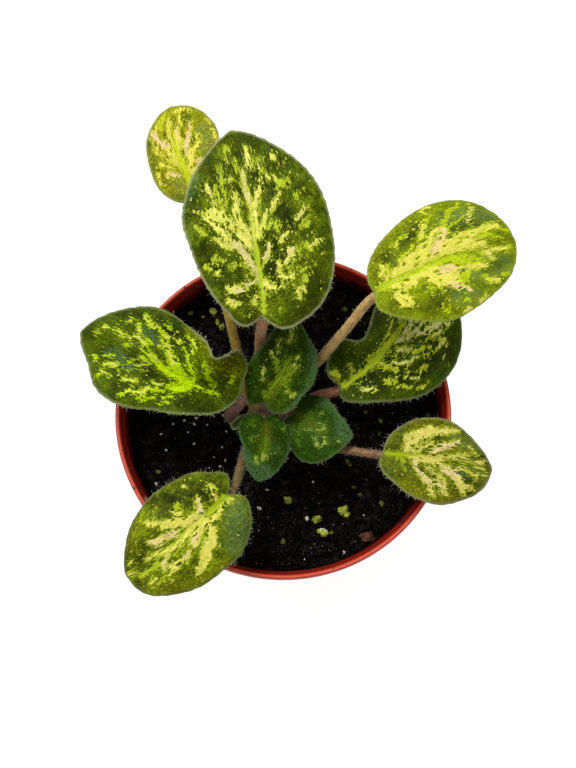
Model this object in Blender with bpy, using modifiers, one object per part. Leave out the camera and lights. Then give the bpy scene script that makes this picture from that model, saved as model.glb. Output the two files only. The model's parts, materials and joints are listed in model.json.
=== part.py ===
"""Potted african violet with variegated leaves, in a small plastic nursery pot.

Metres, +Z up. The origin is the centre of the pot's flat base.
"""

import math

import bmesh
import bpy
import numpy as np
from mathutils import Vector, noise

MM = 0.001

# Pot
RIM_RADIUS = 50.0 * MM
POT_HEIGHT = 85.0 * MM
BASE_RADIUS = 37.5 * MM
WALL = 1.1 * MM
FLOOR = 1.4 * MM
LIP_HEIGHT = 3.0 * MM
LIP_WIDTH = 1.5 * MM
DRAIN_COUNT = 6
DRAIN_RADIUS = 3.5 * MM
DRAIN_RING = 24.0 * MM
ROUND_STEPS = 48

# Soil and crown
SOIL_DROP = 12.0 * MM
FIT_GAP = 0.3 * MM
CROWN_CENTRE = (-6.0 * MM, -0.5 * MM)
CROWN_RADIUS = 5.0 * MM
CROWN_TOP = 81.0 * MM
CROWN_FOOT = 60.0 * MM

# Leaves
BLADE_THICKNESS = 1.0 * MM
BASE_SHARE = 0.42
EDGE_ANGLES = (0, 22, 45, 68, 92, 116, 138, 154, 169, 180)

# Each leaf, in millimetres and degrees. base is the point where the midrib leaves the stalk, and
# azimuth and pitch run from there to the tip. left and right are the reach of the edge from the
# blade's middle, at each inner one of EDGE_ANGLES. fold lifts each half from the midrib and cup
# bends its edge down. A pinch is (side, place, width, degrees): an extra lift over a short run of
# the midrib. wave is the height, count and phase of the ripples at the edge. start is where the
# stalk leaves the crown, (azimuth, height) on its side or None for its top, route is the stalk's
# way from there, and thick is its radius at the crown and at the blade. grid is the number of
# cells along each side of the blade's sheet.
LEAVES = {
    "back_left": dict(
        base=(-25.2, 59.4, 100.0), length=34.0, azimuth=(123, 88), pitch=(15, -9),
        left=(14.6, 11.6, 9.4, 8.8, 9.7, 11.0, 12.0, 13.0),
        right=(20.5, 18.0, 14.7, 13.4, 13.5, 14.8, 16.0, 16.5),
        fold=(10, 10), cup=(-25, -25), wave=(0.5, 5, 20),
        start=(128, 75.8), route=((-14.3, 19.5, 84.5), (-17.0, 30.0, 90.5)),
        thick=(1.7, 1.3), grid=10),
    "back": dict(
        base=(-5.8, 19.3, 112.0), length=54.5, azimuth=(94, 105), pitch=(25, -5),
        left=(26.0, 22.5, 20.5, 18.0, 18.3, 20.3, 22.8, 25.8),
        right=(26.3, 24.3, 22.8, 22.5, 24.1, 26.5, 27.2, 27.0),
        fold=(12, 12), cup=(-30, -30), wave=(0.7, 7, 200),
        start=(96, 79.0), route=((-6.9, 13.6, 83.6), (-6.9, 17.0, 89.5), (-6.4, 19.6, 99.0)),
        thick=(2.0, 1.5), grid=14),
    "left": dict(
        base=(-12.9, 1.9, 91.0), length=51.5, azimuth=(161, 153), pitch=(18, -14),
        left=(23.4, 21.7, 18.5, 14.7, 14.9, 16.3, 18.6, 20.3),
        right=(24.5, 20.0, 16.1, 13.4, 13.0, 19.4, 22.5, 21.3),
        fold=(29, 15), cup=(-30, -25), wave=(0.8, 6, 60), pinch=(-1, 0.21, 0.10, 64),
        start=(188, 76.0), route=((-16.2, -1.2, 81.5),),
        thick=(2.0, 1.6), grid=16),
    "right_high": dict(
        base=(25.5, 24.9, 115.0), length=42.7, azimuth=(30, 10), pitch=(17, -15),
        left=(23.5, 22.1, 19.3, 16.8, 15.4, 16.1, 17.4, 18.2),
        right=(22.5, 19.0, 17.2, 17.0, 16.7, 17.5, 18.9, 19.8),
        fold=(10, 10), cup=(-30, -30), wave=(0.5, 5, 140),
        start=(52, 77.2), route=((3.6, 8.6, 83.5), (9.8, 12.0, 92.4), (18.0, 18.3, 104.5)),
        thick=(1.8, 1.3), grid=12),
    "right_low": dict(
        base=(16.8, 6.5, 87.2), length=42.0, azimuth=(24, 87), pitch=(20, -6), roll=(-13, -5),
        left=(23.1, 20.7, 17.9, 12.7, 10.8, 17.0, 18.8, 19.0),
        right=(22.8, 22.6, 21.5, 19.0, 15.7, 15.4, 16.9, 19.0),
        fold=(75, 4), cup=(-4, -30), wave=(0.8, 7, 0), pinch=(1, 0.13, 0.115, -77),
        start=(8, 75.4), route=((5.0, 2.6, 79.0), (11.0, 4.8, 82.6)),
        thick=(1.9, 1.5), grid=16),
    "front_right": dict(
        base=(28.4, -15.4, 94.0), length=31.0, azimuth=(-9, -12), pitch=(22, -10),
        left=(14.6, 13.0, 12.4, 12.0, 12.1, 11.8, 12.5, 12.9),
        right=(17.0, 14.8, 13.6, 12.2, 11.7, 12.0, 13.2, 13.9),
        fold=(10, 10), cup=(-25, -25), wave=(0.5, 5, 90),
        start=(-50, 75.6), route=((6.5, -9.6, 82.5), (16.8, -12.9, 87.8)),
        thick=(1.5, 1.2), grid=10),
    "front_left": dict(
        base=(-15.5, -27.8, 96.0), length=36.0, azimuth=(-133, -153), pitch=(13, -23),
        left=(19.8, 17.2, 15.8, 15.1, 16.4, 17.3, 18.0, 18.2),
        right=(17.8, 16.2, 15.1, 14.6, 15.5, 17.3, 18.1, 19.5),
        fold=(12, 12), cup=(-35, -35), wave=(0.6, 6, 250),
        start=(240, 76.0), route=((-11.9, -17.0, 88.5),),
        thick=(1.7, 1.15), grid=12),
    "heart_back": dict(
        base=(-5.3, 0.7, 90.0), length=27.5, azimuth=(43, 97), pitch=(38, 2),
        left=(13.3, 10.5, 9.6, 9.9, 11.7, 14.0, 14.8, 15.5),
        right=(11.1, 10.0, 9.3, 9.2, 8.9, 11.2, 12.2, 12.4),
        fold=(12, 12), cup=(-25, -25), wave=(0.3, 5, 0),
        start=None, route=(),
        thick=(1.3, 1.1), grid=10),
    "heart_right": dict(
        base=(2.0, -2.2, 85.0), length=21.2, azimuth=(-34, -14), pitch=(38, 2),
        left=(9.7, 8.3, 8.4, 9.2, 10.8, 12.0, 10.0, 8.3),
        right=(11.2, 11.1, 11.6, 10.9, 9.0, 8.5, 9.2, 9.7),
        fold=(12, 12), cup=(-30, -30), wave=(0.3, 5, 50),
        start=(-12, 79.0), route=(),
        thick=(1.3, 1.1), grid=8),
    "heart_front": dict(
        base=(-5.7, -3.1, 86.0), length=20.7, azimuth=(-83, -105), pitch=(32, -8),
        left=(10.0, 8.4, 7.7, 7.2, 7.4, 8.6, 9.2, 9.7),
        right=(10.0, 7.6, 6.4, 6.9, 8.5, 10.5, 11.2, 11.0),
        fold=(12, 20), cup=(-30, -30), wave=(0.3, 5, 100),
        start=None, route=(),
        thick=(1.2, 1.0), grid=8),
    "bud": dict(
        base=(-11.2, -2.4, 83.6), length=5.4, azimuth=(-135, -147), pitch=(30, -15),
        left=(2.8, 1.9, 1.5, 1.4, 1.5, 1.7, 2.0, 2.4),
        right=(2.8, 1.9, 1.5, 1.4, 1.5, 1.7, 2.0, 2.4),
        fold=(40, 40), cup=(-20, -20), wave=(0.1, 3, 0),
        start=(212, 78.9), route=(),
        thick=(0.7, 0.6), grid=6),
}

# Grains that stand out of the soil: x, y and radius in millimetres
GRAINS = (
    (1.4, -26.0, 1.5), (18.1, -29.3, 1.9), (10.1, -31.1, 1.2), (11.8, -35.0, 1.5),
    (19.6, -14.1, 1.3), (23.0, -24.2, 1.1), (-0.4, -37.7, 1.2), (-27.5, 32.5, 1.4),
    (-22.1, 35.0, 1.5), (-24.0, 29.0, 1.1), (24.0, 36.0, 1.6), (19.5, 38.0, 1.2),
    (8.9, -19.9, 0.9), (-4.6, -22.1, 0.9), (-38.1, -16.5, 0.9), (25.5, -34.2, 1.2),
    (38.0, -6.0, 1.3), (-30.0, -24.0, 1.0), (31.0, 12.0, 1.2), (-6.0, 34.0, 1.1),
)


def clear_scene():
    """Remove every object of the open file."""
    for item in list(bpy.data.objects):
        bpy.data.objects.remove(item, do_unlink=True)


def new_collection(name):
    """Return a fresh collection linked to the scene."""
    collection = bpy.data.collections.new(name)
    bpy.context.scene.collection.children.link(collection)
    return collection


def principled(name, colour, roughness):
    """Return a Principled material."""
    material = bpy.data.materials.new(name)
    material.use_nodes = True
    shader = material.node_tree.nodes["Principled BSDF"]
    shader.inputs["Base Color"].default_value = (*colour, 1.0)
    shader.inputs["Roughness"].default_value = roughness
    shader.inputs["Metallic"].default_value = 0.0
    return material


def add_object(name, data, collection, material=None):
    """Link a mesh or a curve as a named object."""
    item = bpy.data.objects.new(name, data)
    collection.objects.link(item)
    if material is not None:
        data.materials.append(material)
    return item


def evaluated_mesh(item):
    """Return the mesh of an object with its modifiers applied."""
    graph = bpy.context.evaluated_depsgraph_get()
    return bpy.data.meshes.new_from_object(item.evaluated_get(graph))


def turned(name, profile, collection, material):
    """Turn a closed profile of (radius, height) about the Z axis."""
    mesh = bpy.data.meshes.new(name)
    edges = [(i, i + 1) for i in range(len(profile) - 1)]
    mesh.from_pydata([(r, 0.0, z) for r, z in profile], edges, [])
    item = add_object(name, mesh, collection, material)
    screw = item.modifiers.new("turn", "SCREW")
    screw.axis = "Z"
    screw.steps = ROUND_STEPS
    screw.render_steps = ROUND_STEPS
    screw.use_merge_vertices = True
    screw.merge_threshold = 0.00001
    screw.use_smooth_shade = True
    return item


def bake(item):
    """Replace an object's mesh by its evaluated mesh and drop the modifiers."""
    mesh = evaluated_mesh(item)
    item.modifiers.clear()
    old = item.data
    item.data = mesh
    mesh.name = item.name
    bpy.data.meshes.remove(old)
    return item


def boolean(item, other, operation):
    """Add an exact Boolean with another object."""
    modifier = item.modifiers.new(operation.lower(), "BOOLEAN")
    modifier.operation = operation
    modifier.object = other
    modifier.solver = "EXACT"
    return modifier


def as_guide(item):
    """Show a cutter as wire and keep it out of renders."""
    item.hide_render = True
    item.display_type = "WIRE"


def cylinder(name, radius, low, high, centre, collection, sides=24):
    """Return a closed cylinder between two heights."""
    mesh = bpy.data.meshes.new(name)
    work = bmesh.new()
    bmesh.ops.create_cone(work, cap_ends=True, segments=sides, radius1=radius, radius2=radius,
                          depth=high - low)
    work.to_mesh(mesh)
    work.free()
    item = add_object(name, mesh, collection)
    item.location = (centre[0], centre[1], (low + high) / 2)
    return item


def wall_radius(height):
    """Outer radius of the pot's wall at a height."""
    top = RIM_RADIUS - LIP_WIDTH + 0.1 * MM
    return BASE_RADIUS + (top - BASE_RADIUS) * height / (POT_HEIGHT - LIP_HEIGHT)


def make_pot(collection, cutters):
    """Turn the pot with its rolled lip and cut the drain holes."""
    top = POT_HEIGHT
    skirt = top - LIP_HEIGHT
    inner = RIM_RADIUS - LIP_WIDTH
    profile = [
        (0.0, FLOOR),
        (wall_radius(FLOOR) - WALL - 1.2 * MM, FLOOR),
        (wall_radius(FLOOR + 1.2 * MM) - WALL, FLOOR + 1.2 * MM),
        (wall_radius(40 * MM) - WALL, 40 * MM),
        (wall_radius(skirt) - WALL, skirt),
        (inner, top - 0.7 * MM),
        (inner + 0.35 * MM, top - 0.12 * MM),
        (RIM_RADIUS - 0.75 * MM, top),
        (RIM_RADIUS - 0.2 * MM, top - 0.2 * MM),
        (RIM_RADIUS, top - 0.8 * MM),
        (RIM_RADIUS, skirt + 0.3 * MM),
        (RIM_RADIUS - 0.3 * MM, skirt),
        (wall_radius(skirt - 0.2 * MM), skirt - 0.2 * MM),
        (wall_radius(40 * MM), 40 * MM),
        (wall_radius(1.2 * MM), 1.2 * MM),
        (BASE_RADIUS - 1.0 * MM, 0.0),
        (0.0, 0.0),
    ]
    material = principled("pot_plastic", (0.62, 0.10, 0.045), 0.42)
    pot = turned("pot", profile, collection, material)
    for index in range(DRAIN_COUNT):
        angle = 2 * math.pi * (index + 0.5) / DRAIN_COUNT
        centre = (DRAIN_RING * math.cos(angle), DRAIN_RING * math.sin(angle))
        drain = cylinder("drain_cutter_%d" % index, DRAIN_RADIUS, -2 * MM, FLOOR + 2 * MM,
                         centre, cutters, 16)
        boolean(pot, drain, "DIFFERENCE")
        as_guide(drain)
    return pot


def soil_height(x, y):
    """Height of the rough soil at a point of its top, in metres."""
    place = Vector((x * 90, y * 90, 3.7))
    rough = noise.fractal(place, 0.8, 2.1, 3)
    slope = 0.8 * MM * (y / RIM_RADIUS)
    near = min(1.0, max(0.0, (math.hypot(x - CROWN_CENTRE[0], y - CROWN_CENTRE[1]) - 0.006) / 0.008))
    return POT_HEIGHT - SOIL_DROP - 0.5 * MM + slope + near * 0.9 * MM * rough


def make_soil(collection, cutters):
    """Fill the pot with a peat plug: rough top, grains in relief and a plain hole."""
    rest = POT_HEIGHT - SOIL_DROP - 0.5 * MM
    edge = wall_radius(rest) - WALL - FIT_GAP
    foot = FLOOR + FIT_GAP
    rings = 9
    profile = [(edge * i / rings, rest) for i in range(rings + 1)]
    profile.append((wall_radius(40 * MM) - WALL - FIT_GAP, 40 * MM))
    profile.append((wall_radius(foot) - WALL - 2.2 * MM, foot))
    profile.append((0.0, foot))
    material = principled("peat", (0.014, 0.011, 0.009), 0.95)
    soil = bake(turned("soil", profile, collection, material))
    for vertex in soil.data.vertices:
        reach = math.hypot(vertex.co.x, vertex.co.y)
        if vertex.co.z > rest - MM and reach < edge - MM:
            vertex.co.z = soil_height(vertex.co.x, vertex.co.y)
    for index, (x, y, radius) in enumerate(GRAINS):
        name = "grain_%02d" % index
        mesh = bpy.data.meshes.new(name)
        work = bmesh.new()
        bmesh.ops.create_icosphere(work, subdivisions=1, radius=radius * MM)
        for vertex in work.verts:
            vertex.co *= 1.0 + 0.25 * noise.noise(vertex.co * 700 + Vector((index, 0, 0)))
        work.to_mesh(mesh)
        work.free()
        grain = add_object(name, mesh, cutters)
        grain.location = (x * MM, y * MM, soil_height(x * MM, y * MM) + 0.15 * radius * MM)
        boolean(soil, grain, "UNION")
        as_guide(grain)
    hole = cylinder("crown_hole", CROWN_RADIUS + FIT_GAP, CROWN_FOOT - FIT_GAP, POT_HEIGHT,
                    CROWN_CENTRE, cutters, 28)
    boolean(soil, hole, "DIFFERENCE")
    as_guide(hole)
    return soil


def make_crown(collection):
    """Turn the short stem that carries the leaves."""
    profile = [
        (0.0, CROWN_TOP),
        (CROWN_RADIUS - 1.2 * MM, CROWN_TOP),
        (CROWN_RADIUS - 0.3 * MM, CROWN_TOP - 0.4 * MM),
        (CROWN_RADIUS, CROWN_TOP - 1.2 * MM),
        (CROWN_RADIUS, POT_HEIGHT - SOIL_DROP),
        (CROWN_RADIUS - 0.6 * MM, CROWN_FOOT + 3 * MM),
        (CROWN_RADIUS - 1.6 * MM, CROWN_FOOT),
        (0.0, CROWN_FOOT),
    ]
    material = principled("crown_bark", (0.20, 0.12, 0.06), 0.7)
    crown = turned("crown", profile, collection, material)
    crown.modifiers["turn"].steps = 28
    crown.modifiers["turn"].render_steps = 28
    crown.location = (CROWN_CENTRE[0], CROWN_CENTRE[1], 0.0)
    return crown


def smooth_steps(knots, values, places):
    """Pass a smooth curve through values at knots and read it at places."""
    knots = np.asarray(knots, float)
    values = np.asarray(values, float)
    slopes = np.gradient(values, knots)
    low = np.clip(np.searchsorted(knots, places, side="right") - 1, 0, len(knots) - 2)
    width = knots[low + 1] - knots[low]
    t = (places - knots[low]) / width
    return ((2 * t**3 - 3 * t**2 + 1) * values[low] + (t**3 - 2 * t**2 + t) * width * slopes[low]
            + (3 * t**2 - 2 * t**3) * values[low + 1] + (t**3 - t**2) * width * slopes[low + 1])


def spine(leaf, along):
    """Point, direction, side and normal of the midrib at distances along it, in millimetres."""
    stations = np.linspace(0, 1, 41)
    azimuth = np.radians(np.interp(stations, (0, 1), leaf["azimuth"]))
    pitch = np.radians(np.interp(stations, (0, 1), leaf["pitch"]))
    heading = np.stack((np.cos(pitch) * np.cos(azimuth), np.cos(pitch) * np.sin(azimuth),
                        np.sin(pitch)), 1)
    steps = (heading[1:] + heading[:-1]) / 2 * leaf["length"] / 40
    points = np.vstack(((0, 0, 0), np.cumsum(steps, axis=0))) + np.array(leaf["base"])
    share = np.clip(along / leaf["length"], 0, 1)
    point = np.stack([np.interp(share, stations, points[:, i]) for i in range(3)], 1)
    ahead = np.stack([np.interp(share, stations, heading[:, i]) for i in range(3)], 1)
    ahead /= np.linalg.norm(ahead, axis=1)[:, None]
    point += ahead * (along - share * leaf["length"])[:, None]
    side = np.cross((0.0, 0.0, 1.0), ahead)
    side /= np.linalg.norm(side, axis=1)[:, None]
    normal = np.cross(ahead, side)
    roll = np.radians(np.interp(share, (0, 1), leaf.get("roll", (0, 0))))[:, None]
    return (point, ahead, side * np.cos(roll) + normal * np.sin(roll),
            normal * np.cos(roll) - side * np.sin(roll))


def edge_reach(leaf, turn):
    """Reach of the blade's edge from its middle, at angles from the tip, left side positive."""
    ends = (leaf["length"] * (1 - BASE_SHARE), leaf["length"] * BASE_SHARE)
    left = smooth_steps(EDGE_ANGLES, (ends[0], *leaf["left"], ends[1]), np.abs(turn))
    right = smooth_steps(EDGE_ANGLES, (ends[0], *leaf["right"], ends[1]), np.abs(turn))
    return np.where(turn >= 0, left, right)


def blade_points(leaf, across, along):
    """Carry points of the square (-1 to 1) onto the curved blade, in millimetres.

    The square is first rounded to a disc, then stretched to the leaf's outline, folded along the
    midrib, cupped, pinched and waved at its edge.
    """
    wide = np.abs(along) >= np.abs(across)
    radius = np.where(wide, np.abs(along), np.abs(across))
    safe = np.where(radius < 1e-9, 1.0, radius)
    turn = np.where(wide, np.where(along >= 0, 45 * across / safe, 180 - 45 * across / safe),
                    np.where(across >= 0, 90 - 45 * along / safe, -90 + 45 * along / safe))
    turn = np.where(turn > 180, turn - 360, turn)
    reach = edge_reach(leaf, turn) * radius
    x = BASE_SHARE * leaf["length"] + reach * np.cos(np.radians(turn))
    y = reach * np.sin(np.radians(turn))
    point, ahead, side, normal = spine(leaf, x)
    left = y >= 0
    lift = np.radians(np.where(left, *leaf["fold"]))
    if "pinch" in leaf:
        hand, place, width, degrees = leaf["pinch"]
        share = np.exp(-((x / leaf["length"] - place) / width) ** 2)
        lift += np.where(left == (hand > 0), share * math.radians(degrees), 0)
    bend = np.radians(np.where(left, *leaf["cup"])) / (0.35 * leaf["length"])
    out = np.abs(y)
    shift = (np.sin(lift + bend * out) - np.sin(lift)) / bend
    rise = (np.cos(lift) - np.cos(lift + bend * out)) / bend
    size, count, phase = leaf["wave"]
    rise += size * radius**4 * np.sin(np.radians(turn * count + phase)) * np.abs(np.sin(np.radians(turn)))
    return point + side * (shift * np.sign(y))[:, None] + normal * rise[:, None]


def make_blade(name, leaf, collection):
    """Make one blade as a curved sheet, split into triangles and thickened downwards."""
    mesh = bpy.data.meshes.new("blade_" + name)
    work = bmesh.new()
    bmesh.ops.create_grid(work, x_segments=leaf["grid"], y_segments=leaf["grid"], size=1.0)
    flat = np.array([vertex.co[:] for vertex in work.verts])
    placed = blade_points(leaf, -flat[:, 0], flat[:, 1])
    for vertex, place in zip(work.verts, placed):
        vertex.co = Vector(place) * MM
    bmesh.ops.triangulate(work, faces=work.faces[:])
    for face in work.faces:
        face.smooth = True
    work.to_mesh(mesh)
    work.free()
    green = (0.035, 0.11, 0.022) if name.startswith("heart") else (0.07, 0.16, 0.025)
    blade = add_object("blade_" + name, mesh, collection, principled("blade_" + name, green, 0.6))
    sheet = blade.modifiers.new("thickness", "SOLIDIFY")
    sheet.thickness = BLADE_THICKNESS
    sheet.offset = -1.0
    return blade


def stalk_route(leaf):
    """Points of a stalk's middle line from the crown to the underside of its blade."""
    wide, slim = leaf["thick"]
    point, ahead, side, normal = (part[0] for part in spine(leaf, np.array([0.0])))
    seat = BLADE_THICKNESS / MM + FIT_GAP / MM + slim
    end = point + ahead * 1.5 - normal * seat
    before = end - ahead * 2.5
    middle = np.array([CROWN_CENTRE[0], CROWN_CENTRE[1], 0.0]) / MM
    if leaf["start"] is None:
        out = np.array([point[0], point[1], 0.0]) - middle
        out *= 2.0 / np.linalg.norm(out)
        root = middle + out + (0, 0, CROWN_TOP / MM + FIT_GAP / MM + 0.1)
        first = root + (0, 0, 0.8)
    else:
        angle = math.radians(leaf["start"][0])
        out = np.array([math.cos(angle), math.sin(angle), 0.0])
        root = middle + out * (CROWN_RADIUS / MM + FIT_GAP / MM + 0.12) + (0, 0, leaf["start"][1])
        first = root + out * 1.6 + (0, 0, 0.1)
    knots = [root, first, *[np.array(step) for step in leaf["route"]], before, end]
    reach = np.concatenate(((0.0,), np.cumsum([np.linalg.norm(b - a) for a, b in zip(knots, knots[1:])])))
    count = max(2, int(round((reach[-2] - reach[1]) / 4.5)) + 1)
    places = np.concatenate(((0.0,), np.linspace(reach[1], reach[-2], count), (reach[-1],)))
    line = np.stack([smooth_steps(reach, [knot[i] for knot in knots], places) for i in range(3)], 1)
    swell = wide + (slim - wide) * np.minimum(1.0, places / (0.8 * reach[-1]))
    return line, swell


def make_stalk(name, leaf, collection):
    """Make one stalk as a round bevelled curve that tapers to the blade."""
    line, swell = stalk_route(leaf)
    curve = bpy.data.curves.new("stalk_" + name, "CURVE")
    curve.dimensions = "3D"
    curve.bevel_depth = MM
    curve.bevel_resolution = 2
    curve.use_fill_caps = True
    path = curve.splines.new("POLY")
    path.points.add(len(line) - 1)
    for knot, place, radius in zip(path.points, line, swell):
        knot.co = (*(place * MM), 1.0)
        knot.radius = radius
    path.use_smooth = True
    colour = (0.42, 0.24, 0.10) if name in ("back_left", "front_left", "right_high") else (0.36, 0.17, 0.10)
    return add_object("stalk_" + name, curve, collection, principled("stalk_" + name, colour, 0.55))


def main():
    clear_scene()
    plant = new_collection("potted_african_violet")
    cutters = new_collection("cutters")
    make_pot(plant, cutters)
    make_soil(plant, cutters)
    make_crown(plant)
    for name, leaf in LEAVES.items():
        make_blade(name, leaf, plant)
        make_stalk(name, leaf, plant)


if __name__ == "__main__":
    main()
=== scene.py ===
"""The looks of a potted african violet with variegated leaves, in a small plastic nursery pot.

Metres, +Z up, with the origin at the centre of the pot's flat base. The blades and stalks follow
the same leaf table as the part's source.
"""

import json
import math

import bmesh
import bpy
import numpy as np
from bpy.props import FloatProperty, FloatVectorProperty, IntProperty, PointerProperty
from mathutils import Matrix, Vector, noise

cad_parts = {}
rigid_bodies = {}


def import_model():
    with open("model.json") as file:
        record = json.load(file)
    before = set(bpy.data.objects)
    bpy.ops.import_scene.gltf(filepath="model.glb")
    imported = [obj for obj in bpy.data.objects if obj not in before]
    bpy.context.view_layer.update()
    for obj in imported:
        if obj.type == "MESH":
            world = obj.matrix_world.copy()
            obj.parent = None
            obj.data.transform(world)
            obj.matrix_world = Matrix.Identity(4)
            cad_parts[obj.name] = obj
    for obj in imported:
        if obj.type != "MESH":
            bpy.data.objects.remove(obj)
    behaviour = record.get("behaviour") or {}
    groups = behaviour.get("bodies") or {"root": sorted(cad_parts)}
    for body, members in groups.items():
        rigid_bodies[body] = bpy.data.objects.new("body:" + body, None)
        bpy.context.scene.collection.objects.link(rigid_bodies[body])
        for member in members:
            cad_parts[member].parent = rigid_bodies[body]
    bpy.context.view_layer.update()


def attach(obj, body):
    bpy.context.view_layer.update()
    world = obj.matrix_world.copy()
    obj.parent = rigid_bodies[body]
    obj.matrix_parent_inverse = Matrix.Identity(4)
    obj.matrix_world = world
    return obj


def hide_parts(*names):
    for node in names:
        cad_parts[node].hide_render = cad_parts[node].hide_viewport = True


bl_info = {
    "name": "Potted African Violet",
    "version": (1, 0, 0),
    "blender": (4, 5, 0),
    "location": "View3D > Sidebar > Violet",
    "description": "Pot, soil, stalks, blades and hairs of a variegated african violet",
    "category": "Add Mesh",
}

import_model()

MM = 0.001

# Places that the part's source shares
RIM_RADIUS = 50.0 * MM
POT_HEIGHT = 85.0 * MM
BASE_RADIUS = 37.5 * MM
LIP_HEIGHT = 3.0 * MM
LIP_WIDTH = 1.5 * MM
LIP_FOOT = POT_HEIGHT - LIP_HEIGHT
FLOOR_TOP = 1.4 * MM
DRAIN_RADIUS = 3.5 * MM
DRAIN_RING = 24.0 * MM
SOIL_DROP = 12.0 * MM
CROWN_CENTRE = (-6.0 * MM, -0.5 * MM)
CROWN_RADIUS = 5.0 * MM
CROWN_TOP = 81.0 * MM
CROWN_FOOT = 60.0 * MM
SOIL_REST = POT_HEIGHT - SOIL_DROP - 0.5 * MM
FIT_GAP = 0.3 * MM
BASE_SHARE = 0.42
EDGE_ANGLES = (0, 22, 45, 68, 92, 116, 138, 154, 169, 180)
DRAIN_HOLES = 6

# Fine form of a blade, in millimetres: the scallops along its edge, its veins and the pillows between them
SCALLOP_GAP = 2.7
SCALLOP_SHARE = 0.0013
VEIN_WIDTH = 0.55
PILLOW_WIDTH = 2.4

# How far round a stroke its distance is known, the steps along a drawn line, and the shift that gives each
# blade its own part of a pattern, in millimetres
STROKE_REACH = 4.0
LINE_STEP = 0.8
PATTERN_SHIFT = 40.0

# Radii at the pot's base, within the thickness of its wall: the wall is painted as its inner side up to the
# first, and loose matter is pushed back to the second. Both widen upwards by the slope.
PAINT_FOOT = 0.0371
LITTER_FOOT = 0.037
WALL_SLOPE = 0.1341

# Loose matter lies on the soil above this height and within this radius
LOOSE_HEIGHT = 0.0712
LOOSE_RADIUS = 0.0451

# The camera that the photo was taken from, the lamp and the point that it aims at
CAMERA_PLACE = (0.0014, -0.0779, 0.3751)
CAMERA_TILT = 16.43
CAMERA_LENS = 47.4
LAMP_PLACE = (-0.5, 0.55, 1.1)
LAMP_AIM = (0.0, 0.0, 0.09)

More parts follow.
